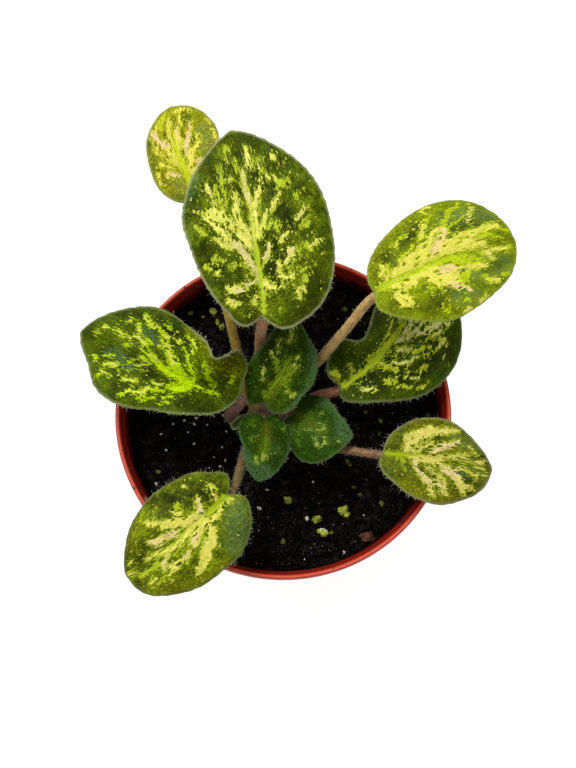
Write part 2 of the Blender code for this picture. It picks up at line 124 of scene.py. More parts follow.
# Each leaf, in millimetres and degrees, as in the part's source. The cells are those along each side of the
# upper sheet, and only this script has them.
LEAVES = {
    "back_left": dict(
        base=(-25.2, 59.4, 100.0), length=34.0, azimuth=(123, 88), pitch=(15, -9),
        left=(14.6, 11.6, 9.4, 8.8, 9.7, 11.0, 12.0, 13.0),
        right=(20.5, 18.0, 14.7, 13.4, 13.5, 14.8, 16.0, 16.5),
        fold=(10, 10), cup=(-25, -25), wave=(0.5, 5, 20),
        start=(128, 75.8), route=((-14.3, 19.5, 84.5), (-17.0, 30.0, 90.5)),
        thick=(1.7, 1.3), cells=100),
    "back": dict(
        base=(-5.8, 19.3, 112.0), length=54.5, azimuth=(94, 105), pitch=(25, -5),
        left=(26.0, 22.5, 20.5, 18.0, 18.3, 20.3, 22.8, 25.8),
        right=(26.3, 24.3, 22.8, 22.5, 24.1, 26.5, 27.2, 27.0),
        fold=(12, 12), cup=(-30, -30), wave=(0.7, 7, 200),
        start=(96, 79.0), route=((-6.9, 13.6, 83.6), (-6.9, 17.0, 89.5), (-6.4, 19.6, 99.0)),
        thick=(2.0, 1.5), cells=160),
    "left": dict(
        base=(-12.9, 1.9, 91.0), length=51.5, azimuth=(161, 153), pitch=(18, -14),
        left=(23.4, 21.7, 18.5, 14.7, 14.9, 16.3, 18.6, 20.3),
        right=(24.5, 20.0, 16.1, 13.4, 13.0, 19.4, 22.5, 21.3),
        fold=(29, 15), cup=(-30, -25), wave=(0.8, 6, 60), pinch=(-1, 0.21, 0.10, 64),
        start=(188, 76.0), route=((-16.2, -1.2, 81.5),),
        thick=(2.0, 1.6), cells=150),
    "right_high": dict(
        base=(25.5, 24.9, 115.0), length=42.7, azimuth=(30, 10), pitch=(17, -15),
        left=(23.5, 22.1, 19.3, 16.8, 15.4, 16.1, 17.4, 18.2),
        right=(22.5, 19.0, 17.2, 17.0, 16.7, 17.5, 18.9, 19.8),
        fold=(10, 10), cup=(-30, -30), wave=(0.5, 5, 140),
        start=(52, 77.2), route=((3.6, 8.6, 83.5), (9.8, 12.0, 92.4), (18.0, 18.3, 104.5)),
        thick=(1.8, 1.3), cells=126),
    "right_low": dict(
        base=(16.8, 6.5, 87.2), length=42.0, azimuth=(24, 87), pitch=(20, -6), roll=(-13, -5),
        left=(23.1, 20.7, 17.9, 12.7, 10.8, 17.0, 18.8, 19.0),
        right=(22.8, 22.6, 21.5, 19.0, 15.7, 15.4, 16.9, 19.0),
        fold=(75, 4), cup=(-4, -30), wave=(0.8, 7, 0), pinch=(1, 0.13, 0.115, -77),
        start=(8, 75.4), route=((5.0, 2.6, 79.0), (11.0, 4.8, 82.6)),
        thick=(1.9, 1.5), cells=130),
    "front_right": dict(
        base=(28.4, -15.4, 94.0), length=31.0, azimuth=(-9, -12), pitch=(22, -10),
        left=(14.6, 13.0, 12.4, 12.0, 12.1, 11.8, 12.5, 12.9),
        right=(17.0, 14.8, 13.6, 12.2, 11.7, 12.0, 13.2, 13.9),
        fold=(10, 10), cup=(-25, -25), wave=(0.5, 5, 90),
        start=(-50, 75.6), route=((6.5, -9.6, 82.5), (16.8, -12.9, 87.8)),
        thick=(1.5, 1.2), cells=92),
    "front_left": dict(
        base=(-15.5, -27.8, 96.0), length=36.0, azimuth=(-133, -153), pitch=(13, -23),
        left=(19.8, 17.2, 15.8, 15.1, 16.4, 17.3, 18.0, 18.2),
        right=(17.8, 16.2, 15.1, 14.6, 15.5, 17.3, 18.1, 19.5),
        fold=(12, 12), cup=(-35, -35), wave=(0.6, 6, 250),
        start=(240, 76.0), route=((-11.9, -17.0, 88.5),),
        thick=(1.7, 1.15), cells=106),
    "heart_back": dict(
        base=(-5.3, 0.7, 90.0), length=27.5, azimuth=(43, 97), pitch=(38, 2),
        left=(13.3, 10.5, 9.6, 9.9, 11.7, 14.0, 14.8, 15.5),
        right=(11.1, 10.0, 9.3, 9.2, 8.9, 11.2, 12.2, 12.4),
        fold=(12, 12), cup=(-25, -25), wave=(0.3, 5, 0),
        start=None, route=(),
        thick=(1.3, 1.1), cells=80),
    "heart_right": dict(
        base=(2.0, -2.2, 85.0), length=21.2, azimuth=(-34, -14), pitch=(38, 2),
        left=(9.7, 8.3, 8.4, 9.2, 10.8, 12.0, 10.0, 8.3),
        right=(11.2, 11.1, 11.6, 10.9, 9.0, 8.5, 9.2, 9.7),
        fold=(12, 12), cup=(-30, -30), wave=(0.3, 5, 50),
        start=(-12, 79.0), route=(),
        thick=(1.3, 1.1), cells=64),
    "heart_front": dict(
        base=(-5.7, -3.1, 86.0), length=20.7, azimuth=(-83, -105), pitch=(32, -8),
        left=(10.0, 8.4, 7.7, 7.2, 7.4, 8.6, 9.2, 9.7),
        right=(10.0, 7.6, 6.4, 6.9, 8.5, 10.5, 11.2, 11.0),
        fold=(12, 20), cup=(-30, -30), wave=(0.3, 5, 100),
        start=None, route=(),
        thick=(1.2, 1.0), cells=62),
    "bud": dict(
        base=(-11.2, -2.4, 83.6), length=5.4, azimuth=(-135, -147), pitch=(30, -15),
        left=(2.8, 1.9, 1.5, 1.4, 1.5, 1.7, 2.0, 2.4),
        right=(2.8, 1.9, 1.5, 1.4, 1.5, 1.7, 2.0, 2.4),
        fold=(40, 40), cup=(-20, -20), wave=(0.1, 3, 0),
        start=(212, 78.9), route=(),
        thick=(0.7, 0.6), cells=24),
}

# The strokes on each blade, drawn and grouped by kind. Each gives its half width at both ends and
# then its points, as distances along the midrib and to its left, all in millimetres.
# Two kinds of stroke paint light into the colour: grey-blue patches of painted sheen, and the dark strokes,
# partly deeper green and partly painted shade.
STROKES = {
    "back": {
        "lime": ((0.41, 0.99, 1.5, -0.6, 6, -0.8, 10, -0.5, 14, -0.4, 18, 0, 25, -0.4),
            (0.45, 0.27, 30.5, 7.3, 35.4, 7.9, 37.5, 8.4), (0.36, 0.45, 32, 6, 35.8, 6),
            (0.54, 0.27, 39, 6.2, 41, 5.9, 44, 6), (0.54, 0.45, 44.6, 3.2, 47.5, 3.6, 49.4, 3),
            (0.27, 0.45, 45, 1.3, 41.5, 1), (0.45, 0.36, 40, -5.5, 38.5, -5.6),
            (0.54, 0.81, 37, -8.3, 35.8, -9.8, 35.4, -11.3), (0.36, 0.45, 33.8, -8.3, 34.4, -9.8),
            (0.63, 0.99, 24, -4, 25.3, -5.8, 23, -6.8), (0.23, 0.27, 22.8, -13.6, 23.8, -15.6),
            (0.23, 0.27, 24.5, -14.6, 26, -16.1), (0.27, 0.27, 15.8, -11.6, 18.3, -14.4),
            (0.72, 0.27, 6, -1.2, 8.5, -1.5), (0.36, 0.23, 11, -11.6, 11.8, -14.2),
            (0.32, 0.27, 9, -12.3, 9.5, -13.2), (0.32, 0.36, 15.6, 14.4, 14.2, 13.1),
            (0.63, 0.45, 17, 11.3, 16, 9.6), (0.54, 0.45, 14, 7.2, 14.6, 5.6),
            (0.23, 0.23, 11.5, 1.6, 14.5, 3.6), (0.27, 0.23, 24.5, 13.6, 27.5, 15.4),
            (0.27, 0.23, 30, -13.2, 31.8, -13.8)),
        "cream": ((1.35, 0.81, 22, -0.4, 27.7, -1.1, 31, -1.3),
            (0.63, 0.54, 29, -1.3, 33, -2.6, 35.4, -3.8),
            (0.99, 0.23, 20.5, 4.8, 23.3, 8, 25.7, 10, 29.4, 12.8, 32.2, 14.8),
            (0.9, 1.53, 19, 1, 23.7, 4, 26.5, 6.2, 28.5, 8.2, 30, 10.4),
            (1.08, 0.54, 22, 0.6, 26.5, 3.2, 29.8, 3.6, 32, 3.4, 35, 3.4),
            (0.72, 0.45, 19.5, 6, 21, 8.5, 22.5, 10.3), (0.45, 0.72, 39.2, 4.8, 39, 3.5),
            (0.72, 0.45, 42.3, -2.3, 45, -2.6, 47.4, -2.4), (0.45, 0.54, 37, -4.6, 38.2, -6, 37, -8),
            (0.45, 0.27, 28, -5, 30.2, -7.2, 32.8, -9), (0.81, 0.54, 22.5, -1.8, 25, -2.9, 28.3, -5),
            (0.36, 0.36, 19.6, -7.2, 21.8, -9.3), (0.45, 0.54, 17.3, -15.3, 18.2, -16.6, 19.2, -18.6),
            (0.54, 0.99, 13.6, -6, 14.5, -8, 16, -9.6), (0.45, 0.54, 13.8, -6.2, 12, -5.8, 10.3, -6.2),
            (0.54, 0.45, 10.2, -6.5, 9.8, -9.2, 11.5, -10.2), (0.99, 0.63, 7.6, 6.5, 8.6, 9.2),
            (0.81, 0.45, 4.8, 8.4, 4, 6.4), (0.45, 0.45, 3.8, 1.8, 5.2, 0.8),
            (0.9, 0.23, 9.3, -0.8, 8, -3, 7.6, -6.8), (0.63, 0.54, 6.3, -10.8, 4.8, -10.8),
            (0.36, 0.23, 6, -10.5, 6.2, -12.8), (0.32, 0.45, 14, 11.8, 13, 11),
            (0.45, 0.36, 44, -9.4, 42.8, -9.5)),
        "blush": ((0.63, 0.36, 32, -0.4, 36.6, 0.2, 41, 0), (0.72, 1.08, 12, 0.4, 17, 2.8, 20.5, 4.8),
            (0.18, 0.32, 32.6, 9.4, 36.2, 10, 38.8, 10.4), (0.32, 0.27, 41, -4.8, 43.3, -5.9),
            (0.18, 0.32, 23.8, -10.8, 28.2, -16), (0.81, 0.45, 16, -8, 17.4, -10.4),
            (0.63, 0.54, 15.4, -2.2, 17, -3, 18.7, -3.9), (0.63, 0.99, 9.8, 0.8, 8.6, 3.4, 7.4, 6)),
        "rib": ((0.32, 0.5, 0.8, -0.6, 6, -0.7, 12, -0.4, 19, -0.2), (0.25, 0.2, 19, -0.3, 27, -0.9)),
        "haze": ((1.5, 2.5, 24, 20.5, 33, 20, 41, 15),),
        "dark": ((2.4, 2.4, 11, -4.5, 20, -8, 30, -8, 38, -4), (2, 2.2, 5, 6, 12, 10.5, 20, 13),
            (1.6, 1.8, 36, 2, 42, 4.5, 46, -0.5), (2.5, 2.5, 0, -13, 8, -16)),
    },
    "left": {
        "lime": ((0.22, 0.31, 6, 2.1, 10, 2.4, 13.5, 2.3), (1.2, 1.5, 18.5, 6.6, 16.7, 5.4, 14.8, 3.6),
            (1.8, 1.2, 15, 3, 18.3, 1.2, 19.8, -0.3, 22, -2.6), (1.3, 0.9, 20, 1.8, 22.5, 1.3, 25, 0.4),
            (0.7, 0.25, 14.6, -0.6, 15.8, -2.2, 18.3, -4.9, 20.2, -7.2),
            (0.6, 0.9, 8.6, -1, 10.4, -3.2, 11.4, -5.6, 11.8, -7.2), (0.3, 0.45, 4, -2, 4.2, -5.4),
            (0.31, 0.55, 19.2, 6.3, 21.5, 8.6, 24, 9.6), (0.22, 0.18, 38.5, 11.7, 38.2, 11.3),
            (0.24, 0.24, 30.2, 14.6, 29.8, 14.4), (0.18, 0.18, 34, 7.8, 33.4, 6.6),
            (0.15, 0.15, 32.8, 4, 32.4, 2.8), (0.24, 0.18, 29.6, -4.6, 31, -4.9),
            (0.15, 0.18, 35.5, -1.2, 36.8, -1.2), (0.18, 0.15, 26.6, -10.6, 27.8, -11.4),
            (0.12, 0.12, 16, 8, 20, 10.2), (0.12, 0.12, 22, 11.8, 26, 14),
            (0.13, 0.13, 17.5, 10.6, 19.5, 12.3)),
        "cream": ((0.9, 0.32, 21.5, -2, 23.6, -3.8, 24.6, -5.2, 27, -6.7),
            (0.37, 0.31, 26, -0.2, 28.5, -1.2, 31.8, -2.2), (0.49, 0.24, 31.6, -3.8, 33, -4.4, 35.6, -4.5),
            (0.24, 0.31, 34.2, -6.2, 35.7, -8), (0.15, 0.24, 36, -3.6, 38, -3.7),
            (0.49, 0.18, 39.6, -4, 42, -4), (0.31, 0.24, 45, -3.6, 44, -3.8),
            (0.18, 0.18, 46.8, -1.5, 46, -1.6), (0.24, 0.24, 38.3, -8.4, 39.2, -9.1),
            (0.15, 0.37, 25.5, -8, 29.5, -9.2, 32.8, -9.8, 34.6, -11), (0.18, 0.15, 21.5, -8.2, 24, -8.6),
            (0.18, 0.13, 17.4, -7, 19.6, -7.3), (0.12, 0.12, 16.6, -8.4, 20, -10.2),
            (0.61, 0.18, 24.2, 9.8, 25.6, 11.4, 28.8, 12.8), (0.24, 0.31, 21.4, 6.6, 23.8, 7.4),
            (0.31, 0.22, 28, 8.7, 30, 9.3, 31.6, 9.9), (0.24, 0.24, 28.4, 5.1, 29.8, 5.4, 31.6, 6.6),
            (0.18, 0.18, 28.2, 1.4, 30.8, 0.6), (0.15, 0.15, 28.4, 2.8, 30.4, 3.8),
            (0.24, 0.18, 35.6, 10.4, 38.2, 10), (0.24, 0.24, 35.3, 6.6, 37.4, 6.9, 38.4, 7.6),
            (0.24, 0.18, 41.6, 7.3, 42.2, 7), (0.22, 0.15, 38.4, 4.4, 39.6, 5),
            (0.18, 0.22, 26, -4.4, 27, -4.9)),
        "rib": ((0.1, 0.4, 8, 2.1, 10, 2.3, 15, 3), (0.9, 0.8, 18.2, 6.2, 16.2, 5.2),
            (0.25, 0.2, 16, 2.6, 24, 1, 31, -1.6)),
        "haze": ((1.8, 2.2, 32, 5, 38, 3), (1.5, 1.5, 29, -6, 33, -7)),
        "gold": ((2.5, 2.5, 4, -7, 12, -11, 20, -13),),
        "dark": ((1.8, 1.8, 21, -8.5, 30, -11.5), (1.2, 1.8, 6.5, -3, 7.5, -10), (1.6, 1.4, 26, 5, 33, 1.5),
            (2, 1.6, 8, 7, 14, 10)),
    },
    "right_high": {
        "lime": ((0.7, 0.9, 3, 0.4, 8, 0.2, 14, -0.4, 20, -0.4, 24, -0.2),
            (0.6, 0.6, 33, 3.2, 35, 3.8, 36.2, 3), (0.4, 0.4, 23, 9, 25.6, 11, 27.6, 13.6),
            (0.3, 0.4, 24.6, 7.6, 27, 9, 30, 10), (0.4, 0.4, 29.6, 14.6, 30.6, 15.4),
            (2, 1.2, 21, -6, 24, -6.6, 25.6, -6.4), (1.4, 1, 23.5, -1.8, 27.5, -2.6, 30.8, -4.4),
            (0.4, 0.3, 36, -8.6, 37.6, -8.6), (0.25, 0.25, 12, -4.2, 14.4, -7),
            (0.5, 0.4, 15, -12.4, 15.6, -14.4), (0.3, 0.3, 13.2, 11, 13.4, 10.6),
            (0.35, 0.3, 22, -13, 23, -13.4), (0.2, 0.2, 8.4, 3.6, 11.6, 5, 15, 6.6),
            (0.3, 0.3, 40, 4.4, 41, 4.6), (0.3, 0.3, 37, 2.4, 38.4, 2.2),
            (0.3, 0.3, 40.6, -0.4, 39.6, -0.4)),
        "cream": ((1.3, 1.8, 4, 0.9, 8, 1.6, 12, 2, 16, 2.6), (1.8, 2.2, 16, 2.6, 20, 3, 25, 2.6),
            (2, 1.2, 25, 2.6, 29, 2.2, 33, 1.6), (1.2, 0.5, 18, 4.5, 20, 7, 22, 8.8),
            (0.8, 0.7, 30, 3.6, 32, 5.2, 35, 5.8, 38.4, 6), (0.9, 0.4, 8.6, 1.4, 10, 3, 13, 5),
            (0.5, 0.6, 1.6, 0.9, 3, 2.2, 5.4, 5.2), (0.5, 0.5, 17.6, 8, 18.6, 10, 20.6, 13.4),
            (0.6, 0.5, 20.5, 16, 23, 16.6), (0.8, 1.2, 5, -1, 8, -2.2, 10.6, -2.6),
            (1.2, 1, 11, -1.6, 14, -1.8, 18, -1.6), (1.6, 2.2, 15.5, -3.6, 18, -5.6, 21, -6.6),
            (0.8, 0.6, 22, -4.5, 26, -4.2, 29, -4.8, 31.6, -5), (0.6, 0.5, 32.4, -0.8, 35, -1, 39, -1),
            (0.5, 0.5, 30.4, -9, 33.4, -9.8, 34.6, -10), (0.9, 0.9, 4.8, -4.4, 4.8, -7.2),
            (0.9, 0.7, 6.2, -5, 7.4, -6.6, 6.4, -7.8), (0.7, 0.5, 7, -3.2, 9.4, -3.4),
            (0.4, 0.35, 26.6, -14.8, 29.4, -13.7), (0.45, 0.4, 11.4, 9.6, 10.8, 9),
            (1.5, 1, 12, 3, 15, 4.2, 18, 6), (0.9, 0.6, 26, 5, 28.6, 5.4, 30.4, 5.2)),
        "blush": ((1, 1.3, 19.5, 3, 21.5, 5.2, 23.6, 7.6), (0.3, 0.35, 31, 8.6, 33.6, 12.4),
            (1.3, 0.9, 19.5, -3, 22.3, -3.2), (1, 0.5, 20.5, -8, 22.6, -9.6, 25, -11),
            (0.6, 0.5, 33.6, -1.8, 34, -3.4), (0.6, 0.4, 22.4, -15.8, 21.4, -16.4)),
        "rib": ((0.26, 0.16, 1.5, 1, 8, 0.8, 14, 0.3, 24, 0.3),
            (0.26, 0.16, 1.5, 0, 8, -0.3, 14, -0.9, 24, -0.7)),
        "haze": ((2.4, 3.2, 26, 11, 36, 9), (2.6, 2.6, 25, -6.4, 37, -6), (1.2, 1.6, 20, -12, 26, -13)),
        "gold": ((2, 1.5, 2, 8, 10, 14, 20, 18), (1.6, 1.2, 6, -14, 16, -17.5, 28, -16.5)),
        "dark": ((1.4, 1.6, 3, -6, 10, -10, 15, -11), (1.2, 1.5, 6, 6, 14, 9, 20, 12),
            (1, 1.4, 27, 7.5, 33, 8), (1, 1.2, 31, -6.5, 36, -5.5)),
    },
    "right_low": {
        "lime": ((0.9, 0.8, 12, 1.4, 17, 1.6, 22, 0.8), (0.58, 0.86, 1.5, 1.5, 0.5, 4.5),
            (0.5, 0.58, 0.5, -0.8, 4, -0.4, 9, -0.4, 12, -0.4), (1.01, 1.01, 12.5, -0.6, 16, -0.2, 19, 0.2),
            (0.86, 0.43, 19, 0.2, 22, -0.2, 26, -0.8), (0.94, 0.72, 13.4, -1.8, 14, -4.4),
            (0.9, 0.5, 13.6, -3, 14, -4.6, 14.8, -6.4), (0.43, 0.29, 17, -1.8, 18.4, -3.8),
            (0.5, 0.79, 21.4, -7.4, 23.4, -9.6), (0.5, 0.43, 21.6, -8.8, 22.4, -11),
            (0.79, 0.58, 24.2, -11.4, 26, -12.3), (0.12, 0.14, 12.6, -10.4, 15.6, -16),
            (0.25, 0.29, 11, -6.8, 12.6, -9.2), (0.22, 0.22, 5.6, -2.6, 5.4, -3.2),
            (0.43, 0.22, 5.4, 1.8, 5.6, 4), (0.43, 0.36, 2.8, -0.9, 1, -1),
            (0.18, 0.22, 19.5, 3, 22, 4.2, 24.4, 6), (0.14, 0.14, 12, 1.4, 17, 3.6),
            (0.22, 0.18, 20, -12.8, 18.4, -12.6), (0.58, 0.36, 26, -0.6, 32, 0.5, 37, 0.6)),
        "cream": ((0.25, 0.22, 30, -5, 34, -7.5), (0.22, 0.22, 32, -3, 36.5, -5),
            (0.22, 0.18, 26.5, -9, 29, -12), (0.86, 0.43, 30, -10, 31.4, -12.4),
            (0.29, 0.36, 28, -3, 29, -6), (0.36, 0.36, 19, -3.6, 21, -6),
            (0.22, 0.22, 25.6, -12.8, 27.2, -13.8), (0.25, 0.29, 16, -4.8, 17.8, -7.4, 20, -8.9),
            (0.22, 0.25, 15.2, -10.2, 16.6, -13.2), (0.18, 0.22, 5.2, -4.6, 7, -6.6, 8, -6.8),
            (0.58, 0.36, 30, -2, 35, -2.5, 38, -1), (0.43, 0.29, 27, 2, 31, 4, 34, 6)),
        "blush": ((0.58, 0.58, 21, -1.4, 23, -3.6, 25.4, -5.6),
            (0.58, 0.94, 25.4, -5.6, 27.6, -7.4, 29.6, -9.8), (0.65, 0.5, 24.6, -2.4, 28.6, -2.8),
            (0.36, 0.36, 24, -3.6, 28.6, -5.6)),
        "rib": ((0.35, 0.7, 0.5, -0.7, 6, -0.4, 12, -0.4), (0.9, 0.6, 13, -0.4, 17, 0.3, 22, -0.4)),
        "dark": ((2, 2, 8, -4, 18, -12, 26, -15),),
    },
    "front_right": {
        "lime": ((0.4, 0.6, 1, 0, 5, 0, 9, 0.3), (0.25, 0.2, 6.2, -1, 6.6, -4), (0.3, 0.2, 4, -1, 6, -1)),
        "cream": ((0.9, 1.1, 8.6, -0.4, 12, -0.6, 16, -0.3), (0.9, 0.9, 6.6, 1.2, 7.2, 3, 6.4, 5),
            (0.9, 1.6, 7.6, 2.6, 10, 6, 12.6, 7.6), (1.3, 0.5, 13, 7.6, 16, 8.2, 19.4, 9),
            (1, 0.8, 7, 5.4, 9.4, 7), (0.4, 0.4, 8.6, 0.9, 11, 2.6, 13.6, 4.4),
            (0.35, 0.35, 11, 3, 10, 5.6), (0.4, 0.6, 15, 0.8, 19, 1.2, 23.4, 2),
            (0.3, 0.3, 23, 0.4, 25.6, 1, 28.6, 1.6), (0.25, 0.25, 25.8, 3.6, 24, 4.6),
            (0.35, 0.4, 12.6, -2.2, 16, -4.6, 18.8, -6.4), (0.8, 0.9, 16, -1.4, 19, -2.6),
            (1.3, 0.6, 21, -4, 22.6, -5.8, 24, -8), (0.5, 0.4, 13, -6.4, 14.6, -8.4, 15.8, -10.6),
            (0.3, 0.3, 21.8, -1.6, 24, -2, 26.8, -2.8), (0.3, 0.3, 24.4, -6, 26.4, -6.6),
            (0.3, 0.25, 26.4, -0.4, 28.6, -0.6), (0.25, 0.2, 29.6, -1.8, 28.6, -2.4),
            (0.35, 0.3, 19.5, -9.6, 17.4, -8.8)),
        "blush": ((0.5, 1.1, 13, 1.2, 14.6, 2.4, 16, 3.6), (1, 0.5, 16, 3.6, 18.6, 4.4, 20.6, 5.8),
            (0.8, 0.7, 9.4, -1.4, 10.4, -4.2), (0.6, 0.6, 10.8, -4.4, 13, -6, 15.6, -7),
            (0.8, 0.5, 15.6, -7, 18.6, -7.6), (0.9, 1.3, 18, -3, 20.8, -3.6)),
        "rib": ((0.28, 0.26, 0.8, 0, 5, 0, 10, 0.2),),
        "haze": ((1.8, 2.2, 19, 6.6, 25, 7), (1.5, 1.8, 22, -3, 27, -2)),
        "gold": ((2, 2.2, 9, 10, 17, 11.5), (2.2, 2.2, 8, -9.5, 16, -12, 22, -10)),
        "dark": ((2.2, 2.6, 31, 0, 26, -9, 18, -13), (1.6, 2, 28, 6, 22, 9.5),
            (2.6, 2.2, 29.5, 3, 27.5, -4, 22, -9.5), (1, 1.2, 9.5, 8.5, 15, 10.5),
            (1, 1, 12, 5.5, 16.5, 6)),
    },
    "front_left": {
        "lime": ((0.3, 0.5, 1, -0.1, 5, 0, 9, 0.2), (0.6, 0.5, 25.6, 3.4, 29, 3.3, 31.6, 3.2),
            (0.3, 0.3, 12.6, -7.6, 13, -6.2)),
        "cream": ((0.5, 0.9, 3.6, 1.5, 6, 2.3, 8.6, 2.6), (0.8, 1, 8.6, 2.6, 10, 5, 12, 8),
            (1.3, 1.6, 12, 6.6, 14, 7.8, 15, 9), (1.2, 0.5, 15.5, 9.4, 17.4, 10.4, 19.6, 11.4),
            (1.4, 1.2, 10, 1.4, 13, 2.4, 15.6, 4.2), (0.5, 0.5, 19.6, 5.4, 22, 6, 23.6, 5.4),
            (0.6, 0.4, 22.6, 6.6, 24.6, 7, 26.4, 7.8), (1.2, 0.8, 9.6, -0.2, 13, 0.4, 16.6, 1.2),
            (0.7, 0.6, 16.6, 1.4, 20, 1.7, 23.6, 1.1), (0.5, 0.3, 23.6, 0.8, 26, 0.2, 28.4, 0),
            (0.5, 0.5, 17.8, -0.2, 19, -1.4), (1.2, 1.4, 10.6, -1.2, 13.6, -2, 16.6, -3.4),
            (1.4, 1, 17, -3.8, 19.4, -5.2), (1, 0.25, 19.4, -5.4, 21.6, -7.4, 24.2, -9.7),
            (0.5, 0.4, 13.4, -4.4, 14.8, -6), (0.35, 0.35, 3.4, -1.4, 2.8, -2.6),
            (0.7, 0.6, 1.8, -4.2, 1.8, -5.2), (0.4, 0.4, 0.4, 1.4, 1.6, 1.4),
            (0.3, 0.25, 33, 1.6, 35.4, 0.9), (0.35, 0.3, 33.6, -1.2, 33, -1.6),
            (0.5, 0.4, 29.6, 6.2, 30.4, 6.3), (0.4, 0.3, 8, -10.2, 7.4, -9.8)),
        "blush": ((0.8, 0.5, 14, 3, 17, 4.8, 19.6, 6.4), (0.7, 0.6, 25.2, 4.8, 24.6, 3.6, 23.2, 2.4),
            (0.8, 0.9, 17.6, -1.2, 20.6, -2, 24, -2.4), (0.7, 0.4, 24, -2.6, 25.6, -4),
            (1.1, 0.6, 8.8, -1.6, 8, -3.2, 7, -4.4)),
        "rib": ((0.14, 0.12, 0.6, 0.6, 5, 0.7, 11, 0.8), (0.14, 0.12, 0.6, -0.6, 5, -0.5, 11, -0.4)),
        "haze": ((2.4, 2.6, 1, 4, 4, 8, 7, 12),),
        "gold": ((2.2, 2.4, 14, 15, 23, 13, 31, 7), (1.6, 2, 24, -9, 31, -6)),
        "dark": ((2.6, 3, 1, -4, 8, -6.5, 14, -9), (2.2, 2, 29, 1, 34, -3, 31, -8),
            (1.5, 1.8, 33, 5, 27, 10)),
    },
    "back_left": {
        "lime": ((0.81, 1.26, 6, -0.4, 9, -0.9, 13, -0.8), (1.26, 0.81, 13, -0.8, 17, -0.1, 20.6, -0.4),
            (1.2, 0.8, 26.6, 4, 28.6, 3, 30.6, 1.6)),
        "cream": ((1.35, 1.17, 14, 0.6, 18, 1.6, 21, 3), (0.63, 0.63, 19.6, 0.6, 23.6, 1, 28.6, 1),
            (0.36, 0.45, 15.4, 2.8, 18, 4.6, 20, 6), (0.27, 0.27, 12.6, 1.6, 15, 6),
            (0.63, 0.81, 18.6, -0.8, 22.6, -1.4), (0.32, 0.36, 26, -2.2, 30.4, -2.4),
            (1.1, 1.1, 10, -2.6, 13, -3.6, 16.6, -4.2), (0.63, 0.54, 16.6, -5, 19, -7, 22, -7.6),
            (0.54, 0.45, 31.8, -1, 32.6, -3, 32.2, -5.8), (0.36, 0.32, 18.6, -12.5, 22, -12.6, 25, -12.9),
            (0.36, 0.27, 27, -11.4, 30, -10.8), (0.45, 0.36, 9.6, 7.4, 12, 7.2),
            (0.54, 0.27, 24, 7, 26, 5)),
        "blush": ((1.17, 0.9, 20.4, 3, 22.6, 5, 24, 5.8), (0.81, 0.9, 10.4, 1.8, 11.4, 3.8),
            (0.63, 0.54, 22.6, -1, 26, -1.2), (0.45, 0.99, 15.6, -2.5, 18.6, -3.3, 20.8, -3.9),
            (0.81, 0.36, 20.8, -3.9, 24, -5, 27.4, -5.6), (0.9, 0.81, 12.4, -5.4, 12.9, -6.4)),
        "rib": ((0.5, 0.6, 5, -0.4, 10, -0.9, 14, -0.6, 19, -0.2), (0.25, 0.2, 19, -0.3, 24, -0.8)),
        "haze": ((3, 2.4, 24, -10, 14, -10), (1.6, 1.4, 8, 2.4, 5.4, 3.4)),
        "gold": ((2.4, 2.4, 8, 6, 18, 8), (2, 2.5, 6, 9, 12, 12, 18, 13),
            (1.5, 2, 8, -9, 14, -13, 20, -15)),
        "dark": ((1.5, 1.5, 10, 6, 16, 7.5, 22, 8), (0.6, 0.5, 20.6, 1.4, 23.6, 2.4),
            (0.4, 0.4, 26, -0.4, 29.6, -0.4), (0.5, 0.5, 16.6, -2, 20, -2.2),
            (0.5, 0.4, 22, -2.8, 27, -3.2), (0.7, 0.6, 17.6, -6, 20.6, -5.8),
            (1, 0.8, 28.4, -3.6, 31, -4.4), (0.7, 0.7, 5.6, 5.6, 3.6, 3.8)),
    },
    "heart_back": {
        "lime": ((0.5, 0.4, 2, 1.2, 6, 0.8, 9.6, 0.2), (0.9, 0.8, 8, -1, 10, -1.6, 13, -2.8),
            (0.4, 0.3, 11.4, -0.6, 13.6, -1.6), (0.5, 0.3, 9.6, 0.6, 12.6, 0.2, 15, -0.4),
            (0.4, 0.5, 10.6, 1.8, 12.6, 2.7, 14.2, 4)),
        "cream": ((0.22, 0.22, 13.6, -2.2, 16, -2.6), (0.38, 0.22, 14, 3.6, 14.2, 4.8),
            (0.19, 0.15, 14.6, 3.8, 16.4, 3.4), (0.26, 0.22, 15.6, 5.4, 14.8, 4.8),
            (0.34, 0.22, 8.8, 5.8, 7, 5.2), (0.15, 0.15, 5.4, 4.4, 6.4, 4.4),
            (0.15, 0.15, 17.6, 3.8, 20, 3.6), (0.22, 0.15, 20, 1, 21.6, 0.2, 23.2, 0.4),
            (0.19, 0.19, 6.6, -3.2, 7.2, -4), (0.19, 0.15, 6.2, -5.2, 6.8, -5.6)),
        "rib": ((0.14, 0.2, 0.5, 1.1, 5, 0.8, 9, 0.3),),
        "haze": ((1.5, 2, 3, -8, 12, -9.5, 20, -7),),
        "gold": ((0.8, 1.2, 2, 0, 8, -0.6, 12, -1.6),),
        "dark": ((2, 2.6, 18, 5, 24, 3), (2, 2, 10, 6, 17, 7)),
    },
    "heart_right": {
        "lime": ((0.38, 0.3, 6.2, 3.2, 6, 1.6, 7.8, 1.4), (0.22, 0.15, 5.4, 0, 6, -3, 7.4, -7)),
        "cream": ((0.17, 0.14, 10.4, 0.9, 12.2, 0.8), (0.17, 0.17, 12.6, 0, 11.2, -1.1),
            (0.2, 0.14, 13.8, -2.4, 14.4, -4, 14, -5), (0.2, 0.22, 13, -5.8, 12.2, -4.6),
            (0.17, 0.14, 11.6, -3.8, 10.4, -3.8), (0.14, 0.12, 10, 3.8, 9.8, 3.6),
            (0.12, 0.12, 8, -2, 9.6, -1.8), (0.12, 0.12, 18, -2.2, 17.8, -2.4)),
        "haze": ((2, 2.4, 8, 9, 16, 6.5, 19.5, 0),),
        "gold": ((0.8, 1, 3, 1, 8, 0.4, 12, -1),),
    },
    "heart_front": {
